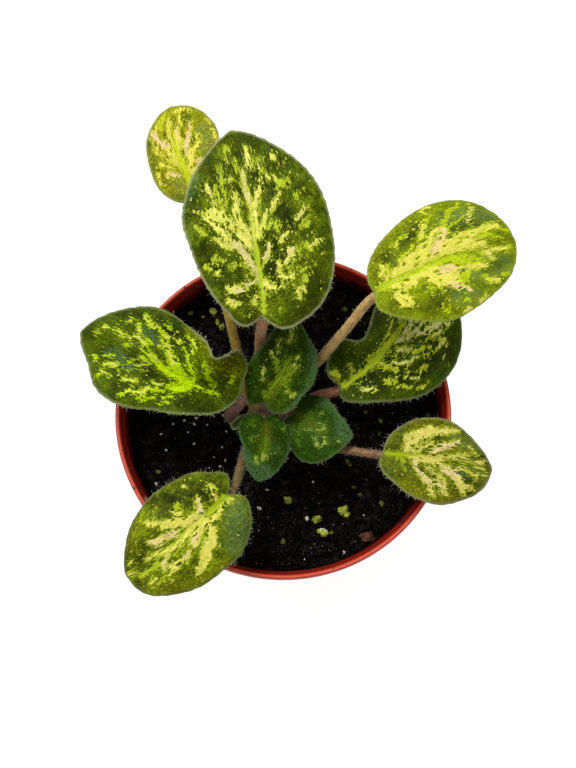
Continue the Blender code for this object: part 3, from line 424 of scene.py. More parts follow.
        "lime": ((0.17, 0.26, 8, 0.3, 11, 0, 13, 0), (0.26, 0.21, 8.6, -3.7, 7.8, -3.1),
            (0.3, 0.26, 3, -3.6, 1.4, -3.5), (0.26, 0.26, 4.8, 5.6, 4.4, 5.8),
            (0.26, 0.26, 1, 3.6, 0.8, 3.8)),
        "cream": ((0.3, 0.34, 13, -0.1, 14.2, -0.2), (0.26, 0.21, 13.4, 0.6, 13.5, 0.4),
            (0.26, 0.21, 15.6, -1.6, 15.2, -1.7), (0.17, 0.17, 14, -1.9, 14, -2)),
        "haze": ((2, 2.4, 12, -8, 17, -4, 18.5, 1),),
        "gold": ((0.6, 0.8, 3, 0.4, 8, 0.2, 13, 0),),
    },
    "bud": {},
}

# Yellow-green grains of plant food on the soil: x, y and radius in millimetres, and lightness
FOOD_GRAINS = (
    (1.4, -25.2, 1.2, 0.7), (17.6, -28.6, 1.2, 0.75), (18.9, -29.5, 1.1, 0.7), (18.6, -27.9, 0.9, 0.8),
    (10.1, -31, 1.1, 0.5), (11.8, -34.9, 1.3, 1), (14.5, -34.9, 0.5, 0.3), (-0.1, -37.5, 0.8, 0.2),
    (23.1, -23.7, 0.7, 0.15), (21.3, -21.3, 0.6, 0.1), (29.7, -26.4, 0.8, 0.15), (30, -0.4, 0.8, 0.2),
    (29.6, -4.5, 0.6, 0.1), (25.5, 2.2, 0.6, 0.1), (19.4, -13.3, 0.6, 0.2), (20.3, -14.2, 0.6, 0.15),
    (44.5, 1.2, 0.7, 0.2), (-29.4, 34.4, 0.8, 0.5), (-22.3, 35.2, 1.2, 0.75), (-20.8, 31.3, 0.8, 0.5),
    (-19.5, 30, 0.8, 0.5), (-25.6, 33.4, 0.5, 0.2), (24, 33, 1.1, 0.5), (19.5, 36, 0.8, 0.2),
    (-4.6, 31, 0.8, 0.2), (36, 10.5, 0.8, 0.15), (-38.1, -16.5, 0.6, 0.15), (-30, 24, 0.7, 0.2),
)

# Chips of bark on the soil: x, y and radius in millimetres
BARK_CHIPS = ((25.2, -36.3, 1.7), (-34.6, 12.4, 1.2), (6.0, 38.0, 1.4))

# White mineral grains on the soil: x, y and radius in millimetres
WHITE_GRAINS = (
    (-18.3, 1.2, 0.6), (-38.5, -20.3, 0.6), (7.1, -30.7, 0.7), (9.0, -19.7, 0.4), (-4.9, -21.9, 0.4),
    (-7.3, -27.6, 0.6), (18.0, -40.8, 0.6), (-34.0, -1.6, 0.4), (-30.6, -0.4, 0.4), (-27.0, 0.3, 0.4),
    (-27.5, -1.6, 0.4), (-29.3, -4.2, 0.3), (-37.6, -4.8, 0.4), (-23.5, -1.6, 0.4), (-17.6, -3.9, 0.3),
    (-18.8, -8.9, 0.3), (-27.4, -7.9, 0.4), (-35.9, -9.8, 0.4), (-21.2, -12.0, 0.3), (-17.8, -12.9, 0.4),
    (-22.6, -15.1, 0.3), (-19.3, -14.8, 0.4), (-24.5, 26.6, 0.4), (6.4, -42.8, 0.3), (24.2, -29.8, 0.3),
)

# Screen colours of each blade (0 to 255): deep and bright green, margin (a painted sheen along the edge),
# lime, cream and blush; then how much it yellows, mottles and flecks
LOOKS = {
    "back_left": ((150, 144, 12), (120, 138, 22), (146, 156, 78), (206, 210, 40), (232, 222, 92),
                  (238, 200, 156), 0.25, 0.35, 0.4),
    "back": ((50, 62, 2), (108, 126, 8), (162, 166, 116), (186, 204, 50), (236, 232, 112),
             (236, 216, 150), 0.06, 0.12, 0.5),
    "left": ((48, 59, 1), (88, 108, 5), (128, 136, 84), (186, 218, 8), (208, 212, 84),
             (226, 200, 134), 0.06, 0.14, 0.36),
    "right_high": ((92, 104, 6), (130, 150, 12), (140, 156, 56), (190, 208, 26), (230, 220, 96),
                   (238, 204, 148), 0.3, 0.5, 0.5),
    # Painted light: this blade's lime and cream are lighter, to make up for the shade that the blade above
    # casts on it.
    "right_low": ((40, 53, 1), (67, 88, 5), (112, 120, 72), (200, 214, 52), (230, 228, 132),
                  (224, 212, 160), 0.08, 0.15, 0.44),
    "front_right": ((50, 55, 5), (102, 114, 10), (128, 130, 84), (158, 172, 28), (216, 204, 104),
                    (226, 200, 148), 0.35, 0.3, 0.42),
    "front_left": ((50, 58, 2), (126, 144, 8), (108, 114, 66), (172, 192, 36), (224, 214, 100),
                   (232, 204, 146), 0.15, 0.25, 0.46),
    "heart_back": ((28, 44, 2), (54, 84, 4), (78, 96, 48), (118, 138, 22), (188, 192, 88),
                   (206, 188, 130), 0.05, 0.15, 0.24),
    "heart_right": ((33, 58, 2), (40, 70, 4), (76, 96, 52), (76, 106, 24), (168, 184, 84),
                    (206, 188, 130), 0.03, 0.15, 0.2),
    "heart_front": ((26, 47, 1), (42, 72, 3), (64, 92, 50), (92, 122, 18), (180, 194, 84),
                    (206, 188, 130), 0.03, 0.15, 0.22),
    "bud": ((60, 70, 22), (100, 110, 40), (140, 150, 100), (150, 160, 50), (200, 200, 120),
            (220, 200, 150), 0.1, 0.2, 0.1),
}

# Screen colours of each stalk near the crown and near its blade
STALK_TINTS = {
    "back_left": ((150, 122, 38), (200, 164, 46)),
    "back": ((192, 136, 86), (178, 122, 66)),
    "left": ((112, 72, 60), (138, 96, 78)),
    "right_high": ((126, 102, 28), (188, 150, 84)),
    "right_low": ((160, 90, 66), (172, 112, 74)),
    "front_right": ((66, 40, 18), (136, 98, 54)),
    "front_left": ((76, 62, 24), (116, 90, 38)),
    "heart_back": ((120, 86, 56), (104, 104, 46)),
    "heart_right": ((120, 86, 56), (96, 100, 44)),
    "heart_front": ((120, 86, 56), (96, 100, 44)),
    "bud": ((150, 108, 84), (140, 120, 72)),
}

# The kinds of stroke, in the order in which the points of a blade carry them
STROKE_KINDS = ("lime", "cream", "blush", "rib", "haze", "gold", "dark")

# Where the side veins leave the midrib and how they lean, as shares of the blade's length
VEIN_STARTS = (0.05, 0.15, 0.27, 0.40, 0.54, 0.68)
VEIN_LEAN = ((0.0, 0.15, 0.3, 0.5, 0.75), (-0.2, 0.35, 0.6, 0.9, 1.2))
STREAK_LEAN = ((0.0, 0.1, 0.2, 0.35, 0.5, 0.7, 1.0), (-0.3, 0.1, 0.8, 1.4, 2.2, 3.5, 6.0))


def tint(red, green, blue):
    """Linear colour of a screen colour."""
    parts = [part / 255 for part in (red, green, blue)]
    return (*[p / 12.92 if p <= 0.04045 else ((p + 0.055) / 1.055) ** 2.4 for p in parts], 1.0)


class Signal:
    """What a node gives out, ready for sums with other signals and with numbers."""

    def __init__(self, socket):
        self.socket = socket

    def __add__(self, other):
        return maths("ADD", self, other)

    def __sub__(self, other):
        return maths("SUBTRACT", self, other)

    def __rsub__(self, other):
        return maths("SUBTRACT", other, self)

    def __mul__(self, other):
        return maths("MULTIPLY", self, other)

    def __truediv__(self, other):
        return maths("DIVIDE", self, other)


def feed(socket, value):
    """Link an input to its source, or set its own value."""
    if isinstance(value, Signal):
        value = value.socket
    if isinstance(value, bpy.types.NodeSocket):
        socket.id_data.links.new(value, socket)
    else:
        socket.default_value = value


def add(tree, kind, feeds=None, **settings):
    """Add a node, set its properties and feed its inputs by name or number."""
    node = tree.nodes.new(kind)
    for name, value in settings.items():
        setattr(node, name, value)
    for name, value in (feeds or {}).items():
        feed(node.inputs[name], value)
    return node


def derived(kind, feeds, output=0, **settings):
    """Add a node to the tree of the signals that feed it, and return one of its outputs."""
    tree = next(value.socket.id_data for value in feeds.values() if isinstance(value, Signal))
    return Signal(add(tree, kind, feeds, **settings).outputs[output])


def maths(operation, *values):
    """Add a Math node and return its result."""
    return derived("ShaderNodeMath", dict(enumerate(values)), operation=operation)


def mixed(share, first, second, kind="MIX"):
    """Mix two colours, each a signal or a screen colour."""
    first, second = (side if isinstance(side, Signal) else tint(*side) for side in (first, second))
    return derived("ShaderNodeMix", {0: share, 6: first, 7: second}, 2, data_type="RGBA", blend_type=kind)


def dimmed(colour, share):
    """Multiply a colour by one share."""
    return mixed(1.0, colour, derived("ShaderNodeCombineColor", {0: share, 1: share, 2: share}), "MULTIPLY")


def between(value, low, high):
    """Rise smoothly from 0 at low to 1 at high."""
    return derived("ShaderNodeMapRange", {0: value, 1: low, 2: high}, interpolation_type="SMOOTHSTEP")


def stretched(place, scale, shift=(0.0, 0.0, 0.0)):
    """Scale and shift a place."""
    return derived("ShaderNodeVectorMath", {0: place, 1: scale, 2: shift}, operation="MULTIPLY_ADD")


def shifted(place, shift):
    """Shift a place."""
    return stretched(place, (1.0, 1.0, 1.0), shift)


def split(vector):
    """Take a vector apart."""
    node = add(vector.socket.id_data, "ShaderNodeSeparateXYZ", {0: vector})
    return [Signal(socket) for socket in node.outputs]


def cloud(place, scale, detail=2.0, roughness=0.55):
    """Read a noise texture at a place."""
    return derived("ShaderNodeTexNoise", {"Vector": place, "Scale": scale, "Detail": detail,
                                          "Roughness": roughness}, "Fac")


def wobble(place, scale):
    """Read a noise texture as a vector."""
    return derived("ShaderNodeTexNoise", {"Vector": place, "Scale": scale, "Detail": 2.0}, "Color")


def cells(place, scale, feature="F1", **settings):
    """Add a cell texture at a place."""
    return add(place.socket.id_data, "ShaderNodeTexVoronoi", {"Vector": place, "Scale": scale},
               feature=feature, **settings)


def gaps(place, scale, feature="F1"):
    """Read how far a place is from the middle of its cell."""
    return Signal(cells(place, scale, feature).outputs["Distance"])


def shares(texture):
    """Read three random shares for each cell of a texture."""
    node = add(texture.id_data, "ShaderNodeSeparateColor", {0: texture.outputs["Color"]})
    return [Signal(socket) for socket in node.outputs]


def flat_cells(place, scale):
    """Read the distance and the random shares of cells that ignore the height."""
    texture = cells(place, scale, voronoi_dimensions="2D")
    return Signal(texture.outputs["Distance"]), shares(texture)


def own_place(tree):
    """Read where a point lies on its own object."""
    return Signal(add(tree, "ShaderNodeTexCoord").outputs["Object"])


def reading(tree, name, output="Vector"):
    """Read one of the mesh's own attributes."""
    return Signal(add(tree, "ShaderNodeAttribute", attribute_name=name).outputs[output])


def bumped(shader, height, depth):
    """Raise the surface by a height pattern, to a depth in metres."""
    node = add(shader.id_data, "ShaderNodeBump", {"Height": height, "Distance": depth, "Strength": 1.0})
    feed(shader.inputs["Normal"], node.outputs[0])


def new_material(name, specular, sheen=0.0):
    """Start a material and set the constant sockets of its shader."""
    material = bpy.data.materials.new(name)
    material.use_nodes = True
    shader = material.node_tree.nodes["Principled BSDF"]
    shader.inputs["Specular IOR Level"].default_value = specular
    shader.inputs["Sheen Weight"].default_value = sheen
    return material, material.node_tree, shader


def painted(shader, colour, roughness):
    """Feed a shader its colour and its roughness."""
    feed(shader.inputs["Base Color"], colour)
    feed(shader.inputs["Roughness"], roughness)


def screen(colour, gain=1.0):
    """Screen colour of a colour property, made lighter or darker by a gain."""
    return [min(255.0, part * 255 * gain) for part in colour[:3]]


def plastic_material(name, gloss, settings):
    """Thin orange-red nursery pot plastic with soil smears inside, a scuffed lip, and painted shade and
    highlights.
    """
    material, tree, shader = new_material(name, gloss)
    place = own_place(tree)
    x, y, z = split(place)
    radius = maths("SQRT", x * x + y * y)
    angle = maths("ARCTAN2", y, x)
    drift = cloud(place, 45.0, 3.0)
    colour = mixed(between(drift, 0.3, 0.7), screen(settings.wall),
                   screen(settings.wall, 1.1))
    high = between(z, LIP_FOOT - 0.5 * MM, LIP_FOOT + 1.5 * MM)
    lip = mixed(cloud(place, 160.0, 3.0), screen(settings.lip),
                screen(settings.lip, 1.14))
    # Painted light: the lip is painted lighter and pinker towards the left, the side that the lamp lights.
    lip = mixed(between(x, 0.0, -0.045) * 0.5, lip, (192, 84, 66))
    # Painted shade: the inner part of the lip band, towards the wall, is painted dark red.
    lip = mixed(between(radius, RIM_RADIUS - 1.2 * MM, RIM_RADIUS - 1.7 * MM), lip, (92, 16, 8))
    # Painted shadow: a thin dark line along the outer edge, where the lip rolls down.
    lip = mixed(between(radius, RIM_RADIUS - 0.4 * MM, RIM_RADIUS - 0.1 * MM) * 0.6, lip, (84, 26, 16))
    colour = mixed(high, colour, lip)
    # Painted highlight: a pale pink line along the middle of the lip.
    line = between(maths("ABSOLUTE", radius - (RIM_RADIUS - 0.8 * MM)), 0.3 * MM, 0.0)
    colour = mixed(high * line * 0.35, colour, (236, 150, 122))
    round_place = derived("ShaderNodeCombineXYZ", {0: angle * 18.0, 1: radius * 220.0})
    nick = between(gaps(round_place, 1.0), 0.14, 0.04)
    lip_place = stretched(place, (0.0, 0.0, 220.0), round_place)
    chip = between(gaps(lip_place, 1.0), 0.26, 0.1) * high
    colour = mixed(chip * 0.75, colour, (96, 34, 18))
    inside = between(radius - (z * WALL_SLOPE + PAINT_FOOT), 0.3 * MM, -0.2 * MM)
    low = between(z, LIP_FOOT + 1 * MM, LIP_FOOT - 8.5 * MM)
    smear = between(cloud(place, 260.0, 5.0, 0.7) + low * 0.34, 0.52, 0.72)
    dirt = smear * inside * 0.9
    # Painted shade: the inner wall is painted dark red under the lip and black further down towards the
    # soil.
    deep = mixed(between(z, LIP_FOOT - 2.5 * MM, LIP_FOOT + 1.5 * MM), (60, 3, 3), (146, 26, 18))
    black = between(z, LIP_FOOT - 2.5 * MM, LIP_FOOT - 5.5 * MM)
    deep = mixed(black, deep, (5, 3, 4))
    colour = mixed(inside * 0.93, colour, deep)
    colour = mixed(dirt, colour, (12, 6, 5))
    painted(shader, colour, dirt * 0.4 + (black * inside * 0.4 + (drift * 0.12 + 0.36)))
    grain = cloud(place, 900.0, 2.0) - nick * 1.2 - chip * 1.2 + smear * 0.6
    bumped(shader, grain, 0.12 * MM)
    return material


def peat_material():
    """Black peat with red-brown fibres and damp crumbs."""
    material, tree, shader = new_material("black_peat", 0.07)
    place = own_place(tree)
    grit = cloud(place, 420.0, 5.0, 0.65)
    clump = cloud(place, 90.0, 3.0)
    colour = mixed(between(grit, 0.4, 0.66), (1, 1, 1), (20, 15, 14))
    crumb = shares(cells(place, 620.0))
    paler = between(crumb[0], 0.7, 0.95) * between(grit, 0.4, 0.6)
    colour = mixed(paler * 0.6, colour, (48, 44, 36))
    brown = between(clump, 0.5, 0.66) * between(grit, 0.42, 0.6)
    colour = mixed(brown * 0.2, colour, (30, 9, 6))
    threads = gaps(stretched(place, (1.0, 0.35, 0.5)), 950.0)
    thread = between(threads, 0.16, 0.05) * between(clump, 0.4, 0.6)
    colour = mixed(thread * 0.3, colour, (50, 36, 26))
    painted(shader, colour, clump * 0.3 + 0.68)
    bumped(shader, cloud(place, 1500.0, 3.0) * 0.4 + grit, 0.9 * MM)
    return material


def speck_material(name, dark, pale, scale, roughness, depth):
    """Rough mineral or plant matter that varies between two screen colours."""
    material, tree, shader = new_material(name, 0.3)
    place = own_place(tree)
    drift = cloud(place, scale, 4.0, 0.6)
    colour = mixed(between(drift, 0.32, 0.68), dark, pale)
    painted(shader, colour, drift * 0.2 + (roughness - 0.1))
    bumped(shader, cloud(place, scale * 3.0, 3.0), depth)
    return material


def food_material():
    """Yellow-green plant food, pitted, duller or brighter grain by grain as its lightness is listed, and
    chalky on the bright grains.
    """
    material, tree, shader = new_material("plant_food", 0.3)
    place = own_place(tree)
    light = reading(tree, "light", "Fac")
    drift = between(cloud(place, 700.0, 4.0, 0.6), 0.34, 0.66)
    dull = mixed(drift, (30, 34, 8), (82, 90, 20))
    bright_grain = mixed(drift, (146, 162, 28), (224, 230, 92))
    colour = mixed(light, dull, bright_grain)
    chalk = between(cloud(place, 420.0, 3.0) * light, 0.54, 0.62)
    colour = mixed(chalk, colour, (242, 242, 214))
    pits = between(gaps(place, 1500.0), 0.32, 0.16)
    colour = mixed(pits * 0.6, colour, (34, 36, 8))
    painted(shader, colour, drift * 0.2 + 0.55)
    bumped(shader, drift - pits * 0.6, 0.3 * MM)
    return material


def blended(first, second, share):
    """Blend two screen colours, with a share of the second."""
    return [(1 - share) * one + share * other for one, other in zip(first, second)]


def group_ends(tree):
    """What a group is given, by name, and the sockets of what it gives back."""
    given = {socket.name: Signal(socket) for socket in tree.nodes.new("NodeGroupInput").outputs}
    return given, tree.nodes.new("NodeGroupOutput").inputs


def markings_group():
    """Build the node group that paints a blade: greens, pale streaks, flecks, pebbled skin, painted sheen
    and painted shade.
    """
    tree = bpy.data.node_groups.new("leaf_markings", "ShaderNodeTree")
    sockets = (("INPUT", "Color", ("Deep", "Bright", "Margin", "Lime", "Cream", "Blush", "Haze")),
               ("INPUT", "Float", ("Yellowing", "Mottle", "Flecks")),
               ("OUTPUT", "Color", ("Colour",)), ("OUTPUT", "Float", ("Height", "Roughness")))
    for way, kind, names in sockets:
        for name in names:
            tree.interface.new_socket(name, in_out=way, socket_type="NodeSocket" + kind)
    given, result = group_ends(tree)

    # Places on the flat blade, and the same bent along its veins and roughened
    flat = reading(tree, "flat")
    vein = reading(tree, "vein")
    marks = split(reading(tree, "marks"))
    edge = reading(tree, "edge", "Fac")
    groove = reading(tree, "groove", "Fac")
    tones = split(reading(tree, "tones"))
    bent = stretched(wobble(flat, 1.4), (1.0, 1.0, 0.0), vein)
    tiles = cells(stretched(bent, (1.0, 0.42, 1.0)), 3.7, "SMOOTH_F1")
    tiles.inputs["Smoothness"].default_value = 0.12
    tile = shares(tiles)
    chips = cloud(stretched(bent, (1.0, 0.5, 1.0)), 5.4, 2.0, 0.6)
    fibre = cloud(stretched(bent, (1.0, 0.2, 1.0)), 2.2, 3.0, 0.65)
    coarse = cloud(stretched(bent, (1.0, 0.33, 1.0)), 0.9, 2.0, 0.5)
    grit = chips * 0.7 + tile[0] * 0.42 + fibre * 0.85 + coarse * 0.55 - 0.76

    # How much of each kind of stroke shows here
    pale = maths("MAXIMUM", marks[1], marks[2])
    both = maths("MAXIMUM", marks[0], pale + 0.1)
    cream_share = maths("MINIMUM", pale * 0.4 + 0.49, 0.8)
    lime_share = maths("MINIMUM", both * 0.3 + 0.52, 0.84)
    gap, chance = flat_cells(stretched(bent, (1.0, 0.6, 1.0)), 0.56)
    width = chance[1] * 0.28 + 0.11
    hole = between(gap, width, width * 0.55) * maths("GREATER_THAN", chance[0], 0.4)
    cream_share = cream_share - hole * 0.62
    lime_share = lime_share - hole * 0.44 + groove * between(both, -2.5, 0.0) * 0.2
    inner = between(edge, 0.5, 3.5)
    strewn = between(cloud(flat, 0.21, 2.0), 0.34, 0.62)
    strewn = strewn * inner * (between(both, -4.0, 0.0) * 0.6 + 0.4) * given["Flecks"]
    gold = between(chips * 1.5 + tones[2] - 0.75, -2.2, 1.2)
    haze = between(coarse * 2.0 + tones[1] - 1.0, -1.6, 0.8)
    rib = between(fibre * 0.8 + tones[0] - 0.4, -0.12, 0.12)
    cream = between(cream_share - grit, -0.02, 0.03)
    mixed_grit = tile[1] * 0.22 + grit - 0.11
    lime = between(lime_share - mixed_grit, -0.03, 0.03)
    halo = between(lime_share + 0.14 - mixed_grit, -0.1, 0.12)
    blush = between(tile[2] * 1.2 + marks[2] - 0.6, -0.4, 0.3)

    # The greens under the streaks
    streaks = cloud(stretched(bent, (1.0, 0.4, 1.0)), 1.3, 4.0, 0.7)
    patch = cloud(flat, 0.15, 4.0, 0.6) * 0.55 + streaks * 0.45
    green = mixed(between(patch, 0.42, 0.64), given["Deep"], given["Bright"])
    grey = between(cloud(shifted(flat, (31.0, 7.0, 3.0)), 0.11, 3.0), 0.52, 0.7)
    green = mixed(grey * given["Mottle"], green, (90, 112, 56))
    vivid = between(cloud(shifted(flat, (2.0, 41.0, 6.0)), 0.3, 3.0), 0.52, 0.68)
    green = mixed(vivid * 0.3, green, (34, 92, 12))
    green = dimmed(green, cloud(flat, 1.5, 3.0, 0.85) * 4.4 - 1.2)
    # Painted sheen: grey-blue patches where light glances off the hairs, painted into the green.
    veil = between(cloud(flat, 1.6, 3.0, 0.8), 0.38, 0.6) * 0.7
    green = mixed(haze * veil, green, given["Haze"])
    # Darker zones along the dark strokes: partly the blade's deeper green and partly painted shade.
    deeper_green_and_shade = between(coarse * 2.4 + reading(tree, "dark", "Fac") - 1.2, -1.8, 1.2)
    green = mixed(deeper_green_and_shade * 0.62, green, (22, 28, 2))
    warm = between(cloud(shifted(flat, (5.0, 19.0, 8.0)), 0.13, 2.0), 0.4, 0.66)
    green = mixed(warm * given["Yellowing"] * 0.5, green, given["Lime"])
    green = mixed(gold * 0.16, green, (150, 140, 14))
    green = mixed(halo * 0.35, green, given["Bright"])

    # Strewn flecks and finer specks
    gap, pick = flat_cells(stretched(bent, (1.0, 0.36, 1.0)), 1.9)
    size = pick[1] * 0.24 + 0.1
    fleck = between(gap, size, size * 0.7) * maths("GREATER_THAN", strewn, pick[0])
    gap, grain = flat_cells(stretched(bent, (1.0, 0.7, 1.0)), 2.0)
    thick = gold * 0.8 + strewn * 0.6
    speck = between(gap, 0.3, 0.12) * maths("GREATER_THAN", thick, grain[0])
    green = mixed(speck * 0.6, green, mixed(0.35, given["Lime"], (206, 198, 40)))
    green = mixed(fleck * 0.85, green, mixed(pick[2], given["Lime"], given["Cream"]))

    # The pale streaks, the midrib, the painted sheen of the edge and the feet of the hairs
    lime_tone = mixed(tile[1] * 0.35, given["Lime"], given["Bright"])
    colour = mixed(lime, green, lime_tone)
    light = mixed(blush, given["Cream"], given["Blush"])
    light = mixed(between(tile[1], 0.5, 0.9) * 0.5, light, given["Lime"])
    colour = mixed(cream, colour, light)
    colour = mixed(rib, colour, mixed(0.25, given["Lime"], (176, 222, 10)))
    colour = dimmed(colour, cloud(flat, 2.4, 3.0, 0.75) * 1.5 + 0.28)
    # Painted sheen along the edge, where the hairs catch the light: the margin colour is mixed in.
    rim = between(edge, 0.9, -0.1)
    painted_edge_sheen = rim * (cloud(flat, 1.1, 3.0, 0.7) * 1.7 - 0.1)
    colour = mixed(painted_edge_sheen, colour, given["Margin"])
    dots = between(gaps(flat, 2.1), 0.16, 0.05)
    colour = mixed(dots * 0.2, colour, (170, 188, 84))
    colour = mixed(groove * 0.2, colour, given["Bright"])

    # Colour, pebbled relief and gloss
    feed(result["Colour"], colour)
    feed(result["Height"], cloud(flat, 3.6, 2.0) * 0.35 + (1.0 - gaps(flat, 1.35, "SMOOTH_F1")))
    feed(result["Roughness"], cloud(flat, 0.8, 2.0) * 0.22 + 0.42)
    return tree


def blade_material(name, group):
    """Upper skin of one blade, with its own greens and streak colours."""
    look = LOOKS[name]
    material, tree, shader = new_material("upper_skin_" + name, 0.04)
    paint = add(tree, "ShaderNodeGroup", node_tree=group)
    for socket, colour in zip(("Deep", "Bright", "Margin", "Lime", "Cream", "Blush"), look[:6]):
        paint.inputs[socket].default_value = tint(*colour)
    # The grey-blue colour of the blade's painted sheen.
    paint.inputs["Haze"].default_value = tint(*blended(look[1], (84, 120, 84), 0.85))
    for socket, value in zip(("Yellowing", "Mottle", "Flecks"), look[6:]):
        paint.inputs[socket].default_value = value
    painted(shader, paint.outputs["Colour"], paint.outputs["Roughness"])
    bumped(shader, paint.outputs["Height"], 0.16 * MM)
    return material


def under_material(name):
    """Pale lower skin of one blade, flushed with rose between its raised veins."""
    material, tree, shader = new_material("lower_skin_" + name, 0.3, sheen=0.2)
    flat = reading(tree, "flat")
    groove = reading(tree, "groove", "Fac")
    drift = between(cloud(flat, 0.2, 4.0, 0.6), 0.35, 0.65)
    dull = blended(LOOKS[name][1], (150, 160, 118), 0.45)
    colour = mixed(drift, dull, [part * 0.86 for part in dull])
    rose = between(cloud(flat, 0.33, 3.0), 0.5, 0.75)
    colour = mixed(rose * 0.25, colour, (168, 122, 96))
    colour = mixed(groove * 0.55, colour, (176, 178, 128))
    dots = between(gaps(flat, 2.0), 0.18, 0.06)
    colour = mixed(dots * 0.3, colour, (206, 208, 176))
    painted(shader, colour, drift * 0.15 + 0.55)
    bumped(shader, gaps(flat, 1.3, "SMOOTH_F1"), 0.12 * MM)
    return material


def stalk_material(name):
    """Juicy tan-rose stalk that turns greener or paler towards its blade."""
    near, far = STALK_TINTS[name]
    material, tree, shader = new_material("stalk_skin_" + name, 0.4, sheen=0.2)
    place = own_place(tree)
    along = reading(tree, "along", "Fac")
    colour = mixed(between(along, 0.1, 0.9), near, far)
    blotch = between(cloud(place, 800.0, 4.0, 0.7), 0.42, 0.62)
    colour = mixed(blotch * 0.5, colour, [part * 0.6 for part in near])
    dots = between(gaps(place, 1500.0), 0.2, 0.07)
    colour = mixed(dots * 0.6, colour, (230, 212, 182))
    painted(shader, colour, blotch * 0.15 + 0.42)
    bumped(shader, cloud(place, 1300.0, 3.0), 0.12 * MM)
    return material


def hair_material(name, dull, pale):
    """Fine plant hairs between two screen colours."""
    material, tree, shader = new_material(name, 0.4)
    drift = cloud(own_place(tree), 300.0, 2.0)
    painted(shader, mixed(between(drift, 0.3, 0.7), dull, pale), drift * 0.2 + 0.35)
    return material


def new_object(name, mesh, *materials):
    """Put a mesh in the scene as an object with its materials."""
    for material in materials:
        mesh.materials.append(material)
    item = bpy.data.objects.new(name, mesh)
    bpy.context.scene.collection.objects.link(item)
    return item


def finish_piece(item, slot, *nodes):
    """Let a piece ride on the plant's only body and stand for its CAD nodes."""
    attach(item, "root")
    if nodes:
        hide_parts(*nodes)


def mesh_from(name, points, faces, smooth=True):
    """Make a mesh from points in metres and lists of corners."""
    mesh = bpy.data.meshes.new(name)
    mesh.from_pydata([tuple(point) for point in points], [], faces)
    mesh.shade_smooth() if smooth else mesh.shade_flat()
    return mesh


def store(mesh, name, values):
    """Keep one value or vector for each vertex under a name."""
    values = np.asarray(values, np.float32)
    kind = "FLOAT_VECTOR" if values.ndim == 2 else "FLOAT"
    layer = mesh.attributes.new(name, kind, "POINT")
    layer.data.foreach_set("vector" if values.ndim == 2 else "value", values.ravel())


def grown(name, source, tree, **inputs):
    """Run a geometry tree on a mesh and keep the result as a plain mesh."""
    worker = bpy.data.objects.new(name + "_source", source)
    bpy.context.scene.collection.objects.link(worker)
    modifier = worker.modifiers.new("grow", "NODES")
    modifier.node_group = tree
    for item in tree.interface.items_tree:
        if item.item_type == "SOCKET" and item.in_out == "INPUT" and item.name in inputs:
            modifier[item.identifier] = inputs[item.name]
    evaluated = worker.evaluated_get(bpy.context.evaluated_depsgraph_get())
    mesh = bpy.data.meshes.new_from_object(evaluated)
    mesh.name = name
    bpy.data.objects.remove(worker)
    return mesh


def start_tree(name, sockets):
    """Start a geometry tree with named inputs, each with its kind and default."""
    tree = bpy.data.node_groups.new(name, "GeometryNodeTree")
    tree.interface.new_socket("Surface", in_out="INPUT", socket_type="NodeSocketGeometry")
    for word, kind, default in sockets:
        socket = tree.interface.new_socket(word, in_out="INPUT", socket_type="NodeSocket" + kind)
        if default is not None:
            socket.default_value = default
    tree.interface.new_socket("Result", in_out="OUTPUT", socket_type="NodeSocketGeometry")
    return tree, *group_ends(tree)


def end_tree(geometry, given, result):
    """End a geometry tree: realize its instances, shade them and give them their finish."""
    real = derived("GeometryNodeRealizeInstances", {"Geometry": geometry})
    shaded = derived("GeometryNodeSetShadeSmooth", {"Geometry": real})
    feed(result[0], derived("GeometryNodeSetMaterial", {"Geometry": shaded, "Material": given["Finish"]}))


def random_vector(tree, low, high, seed):
    """Random vector for each point."""
    node = add(tree, "FunctionNodeRandomValue", data_type="FLOAT_VECTOR")
    node.inputs[0].default_value = low
    node.inputs[1].default_value = high
    feed([socket for socket in node.inputs if socket.name == "Seed"][0], seed)
    return Signal(node.outputs[0])


def position(tree):
    """Read the place of each point."""
    return Signal(add(tree, "GeometryNodeInputPosition").outputs[0])


def named(tree, word):
    """Read a number that the mesh carries under a name."""
    node = add(tree, "GeometryNodeInputNamedAttribute", {"Name": word}, data_type="FLOAT")
    return Signal(node.outputs[0])


def scattered(tree, given, word):
    """Scatter points over the surface, thick where a named number is high."""
    density = named(tree, word) * given["Density"]
    return add(tree, "GeometryNodeDistributePointsOnFaces",
               {"Mesh": given["Surface"], "Density": density, "Seed": given["Seed"]})


def placed(spread, shape, turn, size):
    """Set a shape on every scattered point."""
    return derived("GeometryNodeInstanceOnPoints", {
        "Points": spread.outputs["Points"], "Instance": shape, "Rotation": turn, "Scale": size})


def rotation(turn):
    """Turn three angles into a rotation."""
    return derived("FunctionNodeEulerToRotation", {0: turn})


def pushed(geometry, offset):
    """Move the points of a geometry."""
    return derived("GeometryNodeSetPosition", {"Geometry": geometry, "Offset": offset})


def tube(path, sides, radius, **scale):
    """Draw a closed tube along a path."""
    ring = derived("GeometryNodeCurvePrimitiveCircle", {"Resolution": sides, "Radius": radius}, "Curve")
    return derived("GeometryNodeCurveToMesh", {
        "Curve": path, "Profile Curve": ring, "Fill Caps": True, **scale})


